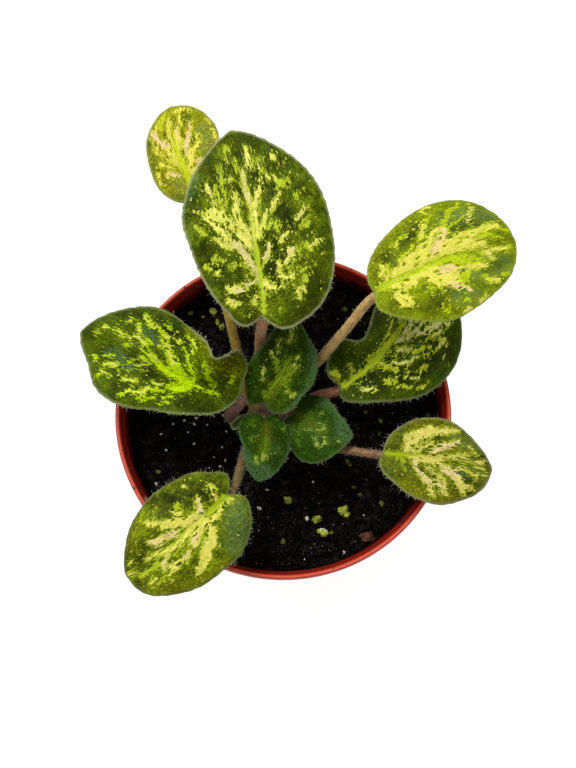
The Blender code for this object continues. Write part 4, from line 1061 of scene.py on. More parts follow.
def hair_tree():
    """Tree that sets pointed hairs on a surface, thick where a named attribute is high."""
    tree, given, result = start_tree("plant_hairs", (
        ("Where", "String", "coat"), ("Density", "Float", 3e6), ("Length", "Float", 1.1 * MM),
        ("Radius", "Float", 0.035 * MM), ("Segments", "Int", 1), ("Bend", "Float", 0.0),
        ("Tilt", "Float", 0.4), ("Seed", "Int", 1), ("Finish", "Material", None)))
    spread = scattered(tree, given, given["Where"])
    cone = derived("GeometryNodeMeshCone", {
        "Vertices": 3, "Side Segments": given["Segments"], "Radius Top": 0.0,
        "Radius Bottom": given["Radius"], "Depth": given["Length"]}, "Mesh", fill_type="NGON")
    height = split(position(tree))[2]
    share = height * height / given["Length"]
    hair = pushed(cone, derived("ShaderNodeCombineXYZ", {0: share * given["Bend"]}))
    facing = add(tree, "FunctionNodeAlignRotationToVector", {"Vector": spread.outputs["Normal"]}, axis="Z")
    swing = split(random_vector(tree, (-1.0, -1.0, -3.14), (1.0, 1.0, 3.14), given["Seed"]))
    turn = derived("ShaderNodeCombineXYZ", {
        0: swing[0] * given["Tilt"], 1: swing[1] * given["Tilt"], 2: swing[2]})
    turned = derived("FunctionNodeRotateRotation", {
        "Rotation": facing.outputs[0], "Rotate By": rotation(turn)}, rotation_space="LOCAL")
    size = random_vector(tree, (0.8, 0.8, 0.5), (1.2, 1.2, 1.15), given["Seed"] + 7.0)
    end_tree(placed(spread, hair, turned, size), given, result)
    return tree


def crumb_tree():
    """Tree that strews crumbs of soil over a surface."""
    tree, given, result = start_tree("loose_crumbs", (
        ("Density", "Float", 3e5), ("Size", "Float", 0.6 * MM), ("Level", "Int", 1),
        ("Seed", "Int", 1), ("Finish", "Material", None)))
    spread = scattered(tree, given, "loose")
    ball = derived("GeometryNodeMeshIcoSphere", {
        "Radius": given["Size"], "Subdivisions": given["Level"]}, "Mesh")
    spin = random_vector(tree, (0.0, 0.0, 0.0), (6.28, 6.28, 6.28), given["Seed"])
    size = random_vector(tree, (0.35, 0.35, 0.25), (1.3, 1.1, 0.85), given["Seed"] + 3.0)
    crumbs = placed(spread, ball, rotation(spin), size)
    real = derived("GeometryNodeRealizeInstances", {"Geometry": crumbs})
    rough = wobble(position(tree), 1100.0)
    push = stretched(rough, (0.0016, 0.0016, 0.0014), (-0.0008, -0.0008, -0.0007))
    end_tree(pushed(real, push), given, result)
    return tree


def fibre_tree():
    """Tree that strews short curved fibres over a surface."""
    tree, given, result = start_tree("peat_fibres", (
        ("Density", "Float", 4e4), ("Length", "Float", 4.0 * MM), ("Radius", "Float", 0.09 * MM),
        ("Seed", "Int", 1), ("Finish", "Material", None)))
    spread = scattered(tree, given, "loose")
    end = derived("ShaderNodeCombineXYZ", {0: given["Length"]})
    line = derived("GeometryNodeCurvePrimitiveLine", {"Start": (0.0, 0.0, 0.0), "End": end})
    steps = derived("GeometryNodeResampleCurve", {"Curve": line, "Count": 7})
    wave = maths("SINE", split(position(tree))[0] * 900.0)
    bow = derived("ShaderNodeCombineXYZ", {1: wave * 0.0006, 2: wave * 0.0003})
    fibre = tube(pushed(steps, bow), 4, given["Radius"])
    spin = random_vector(tree, (-0.35, -0.35, 0.0), (0.35, 0.25, 6.28), given["Seed"])
    size = random_vector(tree, (0.3, 0.4, 0.4), (1.3, 1.4, 1.2), given["Seed"] + 3.0)
    end_tree(placed(spread, fibre, rotation(spin), size), given, result)
    return tree


def tube_tree():
    """Tree that draws a round stalk along a path whose points carry its thickness."""
    tree, given, result = start_tree("round_stalk", (
        ("Sides", "Int", 18), ("Finish", "Material", None)))
    path = derived("GeometryNodeMeshToCurve", {"Mesh": given["Surface"]})
    end_tree(tube(path, given["Sides"], 1.0, Scale=named(tree, "thick")), given, result)
    return tree


def wall_radius(height):
    """Outer radius of the pot's wall at a height."""
    top = RIM_RADIUS - LIP_WIDTH + 0.1 * MM
    return BASE_RADIUS + (top - BASE_RADIUS) * height / LIP_FOOT


def pot_profile(wall):
    """Half section of the pot, from the middle of its floor over the lip to its foot."""
    floor = FLOOR_TOP
    top = POT_HEIGHT
    skirt = LIP_FOOT
    inner = RIM_RADIUS - LIP_WIDTH
    lip = [(inner + 0.06 * MM, top - 1.2 * MM), (inner + 0.12 * MM, top - 0.6 * MM),
           (inner + 0.3 * MM, top - 0.2 * MM), (inner + 0.52 * MM, top - 0.06 * MM),
           (inner + 0.68 * MM, top - 0.16 * MM), (inner + 0.82 * MM, top - 0.05 * MM),
           (inner + 1.05 * MM, top - 0.06 * MM), (inner + 1.3 * MM, top - 0.25 * MM),
           (RIM_RADIUS - 0.04 * MM, top - 0.6 * MM), (RIM_RADIUS, top - 1.1 * MM),
           (RIM_RADIUS, skirt + 0.4 * MM), (RIM_RADIUS - 0.08 * MM, skirt + 0.12 * MM),
           (RIM_RADIUS - 0.3 * MM, skirt)]
    return [
        (0.0, floor),
        (wall_radius(floor) - wall - 2.2 * MM, floor),
        (wall_radius(floor + 0.5 * MM) - wall - 0.8 * MM, floor + 0.35 * MM),
        (wall_radius(floor + 2 * MM) - wall - 0.1 * MM, floor + 1.6 * MM),
        *[(wall_radius(z * MM) - wall, z * MM) for z in (6, 15, 25, 35, 45, 55, 65, 72, 78, 82)],
        *lip,
        (wall_radius(skirt - 0.2 * MM), skirt - 0.2 * MM),
        *[(wall_radius(z * MM), z * MM) for z in (79, 70, 60, 50, 40, 30, 20, 10, 4)],
        (wall_radius(1.6 * MM), 1.6 * MM),
        (wall_radius(0.8 * MM) - 0.25 * MM, 0.6 * MM),
        (BASE_RADIUS - 0.7 * MM, 0.1 * MM),
        (BASE_RADIUS - 1.3 * MM, 0.0),
        (0.0, 0.0),
    ]


def circled(radius, step, steps):
    """Point of a circle, some steps round it."""
    angle = 2 * math.pi * step / steps
    return radius * math.cos(angle), radius * math.sin(angle)


def turned_mesh(name, profile, steps):
    """Turn a half section about the upright axis and close its poles."""
    points = []
    rings = []
    for radius, height in profile:
        if radius == 0.0:
            rings.append([len(points)] * steps)
            points.append((0.0, 0.0, height))
            continue
        rings.append(list(range(len(points), len(points) + steps)))
        points.extend((*circled(radius, step, steps), height) for step in range(steps))
    faces = []
    for lower, upper in zip(rings, rings[1:]):
        for step in range(steps):
            after = (step + 1) % steps
            corners = []
            for corner in (lower[step], lower[after], upper[after], upper[step]):
                if corner not in corners:
                    corners.append(corner)
            faces.append(corners)
    return mesh_from(name, points, faces)


def baked(item):
    """Apply an object's modifiers to its own mesh."""
    evaluated = item.evaluated_get(bpy.context.evaluated_depsgraph_get())
    mesh = bpy.data.meshes.new_from_object(evaluated)
    item.modifiers.clear()
    item.data = mesh


def mesh_of(work, name):
    """Turn finished work into a mesh."""
    mesh = bpy.data.meshes.new(name)
    work.to_mesh(mesh)
    work.free()
    return mesh


def outwards(mesh):
    """Turn a closed mesh's faces outwards."""
    work = bmesh.new()
    work.from_mesh(mesh)
    bmesh.ops.recalc_face_normals(work, faces=work.faces[:])
    work.to_mesh(mesh)
    work.free()


def soil_height(x, y):
    """Height of the rough soil at a point of its top, in metres."""
    rough = noise.fractal(Vector((x * 90, y * 90, 3.7)), 0.8, 2.1, 3)
    slope = 0.8 * MM * (y / RIM_RADIUS)
    near = min(1.0, max(0.0, (math.hypot(x - CROWN_CENTRE[0], y - CROWN_CENTRE[1]) - 0.006) / 0.008))
    return SOIL_REST + slope + near * 0.9 * MM * rough


def soil_top(x, y):
    """Height of the finished soil, with the clumps that the plain solid leaves out."""
    clump = noise.fractal(Vector((x * 330, y * 330, 9.1)), 0.9, 2.1, 4)
    lump = noise.noise(Vector((x * 800, y * 800, 1.3)))
    return soil_height(x, y) + 0.5 * MM * clump + 0.28 * MM * lump * abs(lump) * 2


def soil_mesh(rings, spokes):
    """Make the plug of peat with its rough top as one closed mesh."""
    edge = wall_radius(SOIL_REST) - 1.1 * MM - 0.02 * MM
    points = [(0.0, 0.0, soil_top(0.0, 0.0))]
    for ring in range(1, rings + 1):
        radius = edge * ring / rings
        for spoke in range(spokes):
            x, y = circled(radius, spoke + 0.5 * (ring % 2), spokes)
            points.append((x, y, soil_top(x, y)))
    for radius, height in ((wall_radius(60 * MM) - 1.15 * MM, 60 * MM),
                           (wall_radius(2 * MM) - 3.4 * MM, 1.7 * MM)):
        for spoke in range(spokes):
            points.append((*circled(radius, spoke + 0.5 * (rings % 2), spokes), height))
    points.append((0.0, 0.0, 1.7 * MM))
    faces = []
    for spoke in range(spokes):
        faces.append((0, 1 + spoke, 1 + (spoke + 1) % spokes))
    for ring in range(rings + 1):
        inner = 1 + ring * spokes
        outer = inner + spokes
        shift = 1 if ring < rings - 1 and ring % 2 else 0
        for spoke in range(spokes):
            after = (spoke + 1) % spokes
            if ring >= rings - 1:
                faces.append((inner + spoke, outer + spoke, outer + after, inner + after))
            elif shift:
                faces.append((inner + spoke, outer + spoke, outer + after))
                faces.append((inner + spoke, outer + after, inner + after))
            else:
                faces.append((inner + spoke, outer + spoke, inner + after))
                faces.append((inner + after, outer + spoke, outer + after))
    last = 1 + (rings + 1) * spokes
    for spoke in range(spokes):
        faces.append((last + spoke, len(points) - 1, last + (spoke + 1) % spokes))
    return mesh_from("peat_soil", points, faces)


def smooth_steps(knots, values, places):
    """Pass a smooth curve through values at knots and read it at places."""
    knots = np.asarray(knots, float)
    values = np.asarray(values, float)
    slopes = np.gradient(values, knots)
    low = np.clip(np.searchsorted(knots, places, side="right") - 1, 0, len(knots) - 2)
    width = knots[low + 1] - knots[low]
    t = (places - knots[low]) / width
    return ((2 * t**3 - 3 * t**2 + 1) * values[low] + (t**3 - 2 * t**2 + t) * width * slopes[low]
            + (3 * t**2 - 2 * t**3) * values[low + 1] + (t**3 - t**2) * width * slopes[low + 1])


def running(steps):
    """Sums of the steps so far, from zero."""
    return np.concatenate(((0.0,), np.cumsum(steps)))


def unit(vectors):
    """Bring vectors to length one."""
    return vectors / np.linalg.norm(vectors, axis=1)[:, None]


def spine(leaf, along):
    """Point, direction, side and normal of the midrib at distances along it, in millimetres."""
    stations = np.linspace(0, 1, 41)
    azimuth = np.radians(np.interp(stations, (0, 1), leaf["azimuth"]))
    pitch = np.radians(np.interp(stations, (0, 1), leaf["pitch"]))
    heading = np.stack((np.cos(pitch) * np.cos(azimuth), np.cos(pitch) * np.sin(azimuth),
                        np.sin(pitch)), 1)
    steps = (heading[1:] + heading[:-1]) / 2 * leaf["length"] / 40
    points = np.vstack(((0, 0, 0), np.cumsum(steps, axis=0))) + np.array(leaf["base"])
    share = np.clip(along / leaf["length"], 0, 1)
    point = np.stack([np.interp(share, stations, points[:, i]) for i in range(3)], 1)
    ahead = np.stack([np.interp(share, stations, heading[:, i]) for i in range(3)], 1)
    ahead = unit(ahead)
    point += ahead * (along - share * leaf["length"])[:, None]
    side = unit(np.cross((0.0, 0.0, 1.0), ahead))
    normal = np.cross(ahead, side)
    roll = np.radians(np.interp(share, (0, 1), leaf.get("roll", (0, 0))))[:, None]
    return (point, ahead, side * np.cos(roll) + normal * np.sin(roll),
            normal * np.cos(roll) - side * np.sin(roll))


def edge_reach(leaf, turn):
    """Reach of the blade's edge from its middle, at angles from the tip, left side positive."""
    ends = (leaf["length"] * (1 - BASE_SHARE), leaf["length"] * BASE_SHARE)
    left = smooth_steps(EDGE_ANGLES, (ends[0], *leaf["left"], ends[1]), np.abs(turn))
    right = smooth_steps(EDGE_ANGLES, (ends[0], *leaf["right"], ends[1]), np.abs(turn))
    return np.where(turn >= 0, left, right)


def flat_place(leaf, across, along):
    """Carry points of the square (-1 to 1) onto the flat outline of a blade, in millimetres."""
    wide = np.abs(along) >= np.abs(across)
    radius = np.where(wide, np.abs(along), np.abs(across))
    safe = np.where(radius < 1e-9, 1.0, radius)
    turn = np.where(wide, np.where(along >= 0, 45 * across / safe, 180 - 45 * across / safe),
                    np.where(across >= 0, 90 - 45 * along / safe, -90 + 45 * along / safe))
    turn = np.where(turn > 180, turn - 360, turn)
    reach = edge_reach(leaf, turn)
    teeth = round(math.tau * 0.45 * leaf["length"] / SCALLOP_GAP)
    calm = np.clip((180 - np.abs(turn)) / 30, 0, 1)
    ripple = np.sin(np.radians(turn) * teeth) + 0.8 * np.sin(np.radians(turn) * (teeth * 2 // 3) + 1.3)
    scallop = SCALLOP_SHARE * leaf["length"] * ripple * calm * radius**20
    x = BASE_SHARE * leaf["length"] + (reach * radius + scallop) * np.cos(np.radians(turn))
    y = (reach * radius + scallop) * np.sin(np.radians(turn))
    return x, y, radius, turn, reach * (1 - radius)


def curved_place(leaf, x, y, radius, turn):
    """Fold, cup, pinch and wave the flat blade in space, in millimetres."""
    point, _, side, normal = spine(leaf, x)
    left = y >= 0
    lift = np.radians(np.where(left, *leaf["fold"]))
    if "pinch" in leaf:
        hand, place, width, degrees = leaf["pinch"]
        share = np.exp(-((x / leaf["length"] - place) / width) ** 2)
        lift += np.where(left == (hand > 0), share * math.radians(degrees), 0)
    bend = np.radians(np.where(left, *leaf["cup"])) / (0.35 * leaf["length"])
    out = np.abs(y)
    shift = (np.sin(lift + bend * out) - np.sin(lift)) / bend
    rise = (np.cos(lift) - np.cos(lift + bend * out)) / bend
    size, count, phase = leaf["wave"]
    rise += size * radius**4 * np.sin(np.radians(turn * count + phase)) * np.abs(np.sin(np.radians(turn)))
    return point + side * (shift * np.sign(y))[:, None] + normal * rise[:, None]


def streak_place(leaf, x, y):
    """Place of points between the veins: across the streaks and along them, in millimetres."""
    length = leaf["length"]
    low = np.full_like(x, -0.4 * length)
    high = np.full_like(x, 1.05 * length)
    for _ in range(22):
        middle = (low + high) / 2
        lean = np.interp(middle / length, *STREAK_LEAN)
        over = middle + lean * np.abs(y) > x
        high = np.where(over, middle, high)
        low = np.where(over, low, middle)
    stations = np.linspace(-0.4, 1.05, 120) * length
    lean = np.interp(stations / length, *STREAK_LEAN)
    steps = np.diff(stations) / np.sqrt(1 + ((lean[1:] + lean[:-1]) / 2) ** 2)
    across = np.interp(low, stations, running(steps))
    lean = np.interp(low / length, *STREAK_LEAN)
    return across, y * np.sqrt(1 + lean**2)


def vein_distance(leaf, x, y):
    """Distance of points from the nearest side vein, in millimetres."""
    length = leaf["length"]
    nearest = np.full_like(x, 99.0)
    for index, share in enumerate(VEIN_STARTS):
        for hand in (-1, 1):
            start = (share + 0.02 * hand * (-1) ** index) * length
            lean = np.interp(share, *VEIN_LEAN)
            gap = np.abs(x - start - lean * np.abs(y) - 0.5 / length * y**2) / math.sqrt(1 + lean**2)
            nearest = np.where(y * hand >= 0, np.minimum(nearest, gap), nearest)
    return nearest


def stroke_fields(name, x, y):
    """Signed distance of points into each kind of stroke, in millimetres."""
    fields = np.full((len(x), len(STROKE_KINDS)), -STROKE_REACH)
    strokes = [(kind, *stroke) for kind, group in STROKES[name].items() for stroke in group]
    for kind, first, last, *values in strokes:
        knots = np.array(values, float).reshape(-1, 2)
        reach = running(np.linalg.norm(np.diff(knots, axis=0), axis=1))
        places = np.linspace(0, reach[-1], max(3, int(reach[-1] / LINE_STEP) + 1))
        line = np.stack([smooth_steps(reach, knots[:, i], places) for i in range(2)], 1)
        widths = np.interp(places, (0, reach[-1]), (first, last))
        margin = STROKE_REACH + max(first, last)
        near = np.nonzero((x > line[:, 0].min() - margin) & (x < line[:, 0].max() + margin)
                          & (y > line[:, 1].min() - margin) & (y < line[:, 1].max() + margin))[0]
        spots = np.stack((x[near], y[near]), 1)
        best = np.full(len(near), -STROKE_REACH)
        for a, b, wa, wb in zip(line, line[1:], widths, widths[1:]):
            step = b - a
            share = np.clip(((spots - a) @ step) / max(1e-9, step @ step), 0, 1)
            gap = np.linalg.norm(spots - a - share[:, None] * step, axis=1)
            best = np.maximum(best, wa + (wb - wa) * share - gap)
        column = STROKE_KINDS.index(kind)
        fields[near, column] = np.maximum(fields[near, column], best)
    return fields


def relief(leaf, x, y, inset, depth):
    """Height of the quilted upper face over the plain sheet, in millimetres, and how near the veins are."""
    taper = np.clip(1.1 - x / leaf["length"], 0, 1)
    middle = np.exp(-((y / (0.35 + 0.75 * taper)) ** 2))
    away = vein_distance(leaf, x, y)
    vein = np.exp(-((away / VEIN_WIDTH) ** 2)) * np.clip(inset / 4, 0, 1)
    pillow = 1 - np.exp(-((away / PILLOW_WIDTH) ** 2))
    calm = np.clip(inset / 3, 0, 1) * np.clip(np.abs(y) / 3, 0, 1)
    scale = leaf["length"] / 50
    height = depth * (pillow * calm * 0.75 * scale - middle * taper * 0.8 - vein * 0.35)
    return height, np.maximum(middle * taper, vein)


def grid_normals(points, count):
    """Normals of a square grid of points, from the cells around each."""
    grid = points.reshape(count + 1, count + 1, 3)
    cell = np.cross(grid[1:, 1:] - grid[:-1, :-1], grid[1:, :-1] - grid[:-1, 1:])
    total = np.zeros_like(grid)
    total[:-1, :-1] += cell
    total[1:, :-1] += cell
    total[:-1, 1:] += cell
    total[1:, 1:] += cell
    return (total / np.linalg.norm(total, axis=2)[..., None]).reshape(-1, 3)


def loop_indices(count):
    """Indices of a square grid's border, once round, seen from above against the clock."""
    side = count + 1
    south = [j for j in range(count)]
    east = [i * side + count for i in range(count)]
    north = [count * side + count - j for j in range(count)]
    west = [(count - i) * side for i in range(count)]
    return south + east + north + west


def grid_faces(count, start, flip):
    """Four-cornered faces of a square grid of points."""
    side = count + 1
    faces = []
    for i in range(count):
        for j in range(count):
            a = start + i * side + j
            corners = (a, a + 1, a + side + 1, a + side)
            faces.append(corners[::-1] if flip else corners)
    return faces


def blade_mesh(name, leaf, thickness, depth, seed):
    """Make one blade: a fine quilted upper face, a rounded rim and a coarser lower face."""
    # The upper and the lower sheet
    count = leaf["cells"]
    steps = np.linspace(-1, 1, count + 1)
    along, right = np.meshgrid(steps, steps, indexing="ij")
    x, y, radius, turn, inset = flat_place(leaf, -right.ravel(), along.ravel())
    sheet = curved_place(leaf, x, y, radius, turn)
    normal = grid_normals(sheet, count)
    lift, groove = relief(leaf, x, y, inset, depth)
    top = sheet + normal * lift[:, None]
    heavy = thickness * (0.62 + 0.38 * (1 - radius**8))
    low = sheet - normal * (heavy + 0.25 * groove - 0.4 * lift)[:, None]

    # The rounded rim between them
    border = np.array(loop_indices(count))
    tangent = np.roll(sheet[border], -1, axis=0) - np.roll(sheet[border], 1, axis=0)
    outward = unit(np.cross(tangent, normal[border]))
    centre = (top[border] + low[border]) / 2
    half = np.linalg.norm(top[border] - low[border], axis=1)[:, None] / 2
    rows = []
    for degrees in (45, 90, 135):
        swing = math.radians(degrees)
        rows.append(centre + normal[border] * half * math.cos(swing) + outward * half * math.sin(swing))

    # Faces of the sheets and the rim; the lower sheet has half as many rows
    half_count = count // 2
    coarse = np.arange((count + 1) ** 2).reshape(count + 1, count + 1)[::2, ::2].ravel()
    points = np.vstack((top, *rows, low[coarse])) * MM
    faces = grid_faces(count, 0, False)
    upper_faces = len(faces)
    total = len(border)
    first_row = len(top)
    loops = [border, *[first_row + row * total + np.arange(total) for row in range(3)]]
    for upper, lower in zip(loops, loops[1:]):
        for k in range(total):
            after = (k + 1) % total
            faces.append((int(upper[k]), int(lower[k]), int(lower[after]), int(upper[after])))
    low_start = first_row + 3 * total
    low_border = low_start + np.array(loop_indices(half_count))
    last = loops[3]
    for k in range(total // 2):
        f0, f1, f2 = int(last[2 * k]), int(last[2 * k + 1]), int(last[(2 * k + 2) % total])
        c0, c1 = int(low_border[k]), int(low_border[(k + 1) % (total // 2)])
        faces.extend(((f0, c0, f1), (f1, c0, c1), (f1, c1, f2)))
    faces.extend(grid_faces(half_count, low_start, True))
    mesh = mesh_from("leaf_" + name, points, faces)
    kinds = np.ones(len(faces), np.int32)
    kinds[:upper_faces + 2 * total] = 0
    mesh.polygons.foreach_set("material_index", kinds)

    # What the materials and the hairs read from each point
    across, down = streak_place(leaf, x, y)
    order = np.concatenate((np.arange(len(top)), border, border, border, coarse))
    shift = np.full(len(order), PATTERN_SHIFT * seed)
    store(mesh, "flat", np.stack((x[order], y[order], shift), 1))
    fine = max(1.0, (45.0 / leaf["length"]) ** 0.8)
    store(mesh, "vein", np.stack((across[order] * fine, down[order] * fine, shift), 1))
    fields = stroke_fields(name, x, y)[order]
    store(mesh, "marks", fields[:, :3])
    store(mesh, "tones", fields[:, 3:6])
    store(mesh, "dark", fields[:, 6])
    depth_in = inset[order]
    depth_in[len(top):low_start] = -0.2
    store(mesh, "edge", depth_in)
    store(mesh, "groove", groove[order])
    coat = np.zeros(len(order))
    coat[:len(top)] = np.clip(inset / 0.8, 0.2, 1) * (0.45 + 0.55 * np.clip(1.3 - inset / 4, 0, 1))
    coat[low_start:] = 0.45
    store(mesh, "coat", coat)
    fringe = np.zeros(len(order))
    fringe[first_row:first_row + 2 * total] = 1.0
    fringe[border] = 0.5
    store(mesh, "fringe", fringe)
    mesh.update()
    return mesh


def stalk_path(leaf):
    """Points and radii of a stalk's middle line, from inside the crown to its keel under the blade."""
    wide, slim = leaf["thick"]
    point, ahead, _, normal = (part[0] for part in spine(leaf, np.array([0.0])))
    end = point + ahead * 1.5 - normal * (1.15 + slim)
    before = end - ahead * 2.5 - normal * 0.1
    middle = np.array([CROWN_CENTRE[0], CROWN_CENTRE[1], 0.0]) / MM
    if leaf["start"] is None:
        out = np.array([point[0], point[1], 0.0]) - middle
        out *= 2.0 / np.linalg.norm(out)
        root = middle + out + (0, 0, CROWN_TOP / MM + FIT_GAP / MM + 0.1)
        inner = root - (0, 0, 1.6)
        first = root + (0, 0, 0.8)
    else:
        angle = math.radians(leaf["start"][0])
        out = np.array([math.cos(angle), math.sin(angle), 0.0])
        root = middle + out * (CROWN_RADIUS / MM + FIT_GAP / MM + 0.12) + (0, 0, leaf["start"][1])
        inner = root - out * 1.8
        first = root + out * 1.6 + (0, 0, 0.1)
    stations = np.arange(0.14, 0.72, 0.08) * leaf["length"]
    ribs, _, _, up = spine(leaf, stations)
    fade = np.linspace(0.8, 0.3, len(stations)) * slim
    keel = ribs - up * (0.8 + 0.9 * fade)[:, None]
    knots = [inner, root, first, *[np.array(step) for step in leaf["route"]], before, end, *keel]
    swell = [wide, wide]
    swell += list(np.linspace(wide, slim, len(knots) - 3 - len(keel) + 1)[1:]) + [slim] + list(fade)
    reach = running([np.linalg.norm(b - a) for a, b in zip(knots, knots[1:])])
    places = np.linspace(0, reach[-1], int(reach[-1] / LINE_STEP) + 2)
    line = np.stack([smooth_steps(reach, [knot[i] for knot in knots], places) for i in range(3)], 1)
    radii = np.interp(places, reach, swell[:len(knots)])
    radii *= 1 + 0.035 * np.sin(places * 0.9) * np.sin(places * 0.37 + 1)
    radii[0] *= 0.6
    radii[-1] *= 0.5
    seat = reach[len(knots) - len(keel) - 1]
    return line, radii, np.clip(places / seat, 0, 1)


class VioletPot(bpy.types.PropertyGroup):
    """Sizes and colours of the pot."""

    wall_thickness: FloatProperty(name="Wall", description="Thickness of the pot's wall",
                                  default=1.1 * MM, min=0.5 * MM, max=3 * MM, unit="LENGTH")
    steps: IntProperty(name="Steps", description="Number of steps round the pot", default=168, min=24)
    wall: FloatVectorProperty(name="Wall colour", description="Screen colour of the pot's wall",
                              default=(0.73, 0.25, 0.13), size=3, subtype="COLOR_GAMMA", min=0, max=1)
    lip: FloatVectorProperty(name="Lip colour", description="Screen colour of the rolled lip",
                             default=(0.74, 0.205, 0.09), size=3, subtype="COLOR_GAMMA", min=0, max=1)


class VioletSoil(bpy.types.PropertyGroup):
    """Fineness and litter of the soil."""

    rings: IntProperty(name="Rings", description="Rings of the soil's top", default=84, min=10)
    spokes: IntProperty(name="Spokes", description="Points on each ring", default=250, min=24)
    crumbs: FloatProperty(name="Crumbs", description="Small crumbs on each square metre",
                          default=420000.0, min=0.0)
    fibres: FloatProperty(name="Fibres", description="Fibres on each square metre",
                          default=50000.0, min=0.0)
    seed: IntProperty(name="Seed", description="Seed of what lies on the soil", default=5)


class VioletLeaves(bpy.types.PropertyGroup):
    """Form of the blades, stalks and hairs."""

    thickness: FloatProperty(name="Blade", description="Thickness of a blade in its middle",
                             default=0.9 * MM, min=0.6 * MM, max=2 * MM, unit="LENGTH")
    relief: FloatProperty(name="Relief", description="Depth of the quilted upper face",
                          default=0.35 * MM, min=0, max=1 * MM, unit="LENGTH")
    sides: IntProperty(name="Sides", description="Sides of a stalk", default=18, min=6)
    coat: FloatProperty(name="Coat", description="Hairs on each square metre of a blade",
                        default=1100000.0, min=0.0)
    fringe: FloatProperty(name="Fringe", description="Hairs on each square metre of a rim or stalk",
                          default=2300000.0, min=0.0)
    hair: FloatProperty(name="Hair", description="Length of a hair", default=1.1 * MM, min=0.1 * MM,
                        unit="LENGTH")
    hair_radius: FloatProperty(name="Hair radius", description="Radius of a hair at its foot",
                               default=0.024 * MM, min=0.01 * MM, unit="LENGTH")


class VioletStage(bpy.types.PropertyGroup):
    """Light of the plain studio."""

    ambient: FloatProperty(name="Ambient", description="Strength of the light from all round", default=0.56,
                           min=0.0)
    key: FloatProperty(name="Key", description="Power of the large soft lamp", default=12.0, min=0.0,
                       subtype="POWER")
    floor: FloatProperty(name="Floor", description="Width of the floor", default=4.0, unit="LENGTH")


class VIOLET_OT_pot(bpy.types.Operator):
    """Make the thin plastic pot with its rolled lip and drain holes"""

    bl_idname = "violet.pot"
    bl_label = "Pot"

    def execute(self, context):
        settings = context.scene.violet_pot
        mesh = turned_mesh("nursery_pot", pot_profile(settings.wall_thickness), settings.steps)
        outwards(mesh)
        # The second finish covers the inner wall, which is painted into shade.
        pot = new_object("nursery_pot", mesh, plastic_material("orange_pot_plastic", 0.45, settings),
                         plastic_material("inner_wall_painted_shade", 0.04, settings))
        cutters = []
        for index in range(DRAIN_HOLES):
            work = bmesh.new()
            place = Matrix.Translation((*circled(DRAIN_RING, index + 0.5, DRAIN_HOLES), 1 * MM))
            bmesh.ops.create_cone(work, cap_ends=True, segments=32, radius1=DRAIN_RADIUS,
                                  radius2=DRAIN_RADIUS, depth=6 * MM, matrix=place)
            cutter = new_object("drain", mesh_of(work, "drain"))
            cutters.append(cutter)
            cut = pot.modifiers.new("drain", "BOOLEAN")
            cut.operation = "DIFFERENCE"
            cut.solver = "EXACT"
            cut.object = cutter
        baked(pot)
        for cutter in cutters:
            bpy.data.objects.remove(cutter)
        pot.data.set_sharp_from_angle(angle=math.radians(50))
        for face in pot.data.polygons:
            middle = wall_radius(face.center.z) - 0.5 * settings.wall_thickness
            if 10 * MM < face.center.z < LIP_FOOT and math.hypot(face.center.x, face.center.y) < middle:
                face.material_index = 1
        finish_piece(pot, "pot_plastic", "pot")
        return {"FINISHED"}


class VIOLET_OT_soil(bpy.types.Operator):
    """Make the peat with its crumbs, fibres and grains"""

    bl_idname = "violet.soil"
    bl_label = "Soil"

    def execute(self, context):
        settings = context.scene.violet_soil
        peat = peat_material()
        mesh = soil_mesh(settings.rings, settings.spokes)
        soil = new_object("peat_soil", mesh, peat)
        reach = [math.hypot(point.co.x, point.co.y) for point in mesh.vertices]
        store(mesh, "loose", [float(point.co.z > LOOSE_HEIGHT and far < LOOSE_RADIUS)
                              for point, far in zip(mesh.vertices, reach)])
        finish_piece(soil, "peat", "soil")
        crumbs = crumb_tree()
        amount = settings.crumbs
        straw = speck_material("peat_fibre", (16, 10, 8), (52, 40, 32), 500.0, 0.8, 0.05 * MM)
        bark = speck_material("bark_chips", (48, 24, 13), (112, 64, 40), 420.0, 0.8, 0.2 * MM)
        grit = speck_material("fine_specks", (52, 44, 34), (176, 172, 140), 160.0, 0.7, 0.05 * MM)
        chalk = speck_material("mineral_white", (168, 160, 146), (240, 236, 226), 900.0, 0.7, 0.08 * MM)

        def strewn(name, shift, tree, finish, density, **sizes):
            """Grow loose matter on the soil."""
            seed = settings.seed + shift
            return grown(name, mesh, tree, Density=density, Seed=seed, Finish=finish, **sizes)

        litter = (
            (kept_inside(strewn("peat_crumbs", 0, crumbs, peat, amount, Size=0.55 * MM, Level=1)),),
            (kept_inside(strewn("peat_lumps", 1, crumbs, peat, amount / 7, Size=1.25 * MM, Level=2)),),
            (kept_inside(strewn("peat_fibres", 2, fibre_tree(), straw, settings.fibres)),),
            (grain_mesh("plant_food_grains", FOOD_GRAINS, 3, 3, 0.75), food_material()),
            (grain_mesh("bark_chips", BARK_CHIPS, 3, 7, 0.35), bark),
            (strewn("fine_specks", 4, crumbs, grit, amount / 3.2, Size=0.2 * MM, Level=1),),
            (grain_mesh("mineral_grains", WHITE_GRAINS, 2, 11, 0.8), chalk),
        )
        for pieces, *finish in litter:
            finish_piece(new_object(pieces.name, pieces, *finish), "peat")
        return {"FINISHED"}


def kept_inside(mesh):
    """Push back whatever would reach through the pot's wall."""
    for point in mesh.vertices:
        limit = (LITTER_FOOT + WALL_SLOPE * point.co.z) / max(math.hypot(point.co.x, point.co.y), MM)
        if limit < 1:
            point.co.x *= limit
            point.co.y *= limit
    return mesh


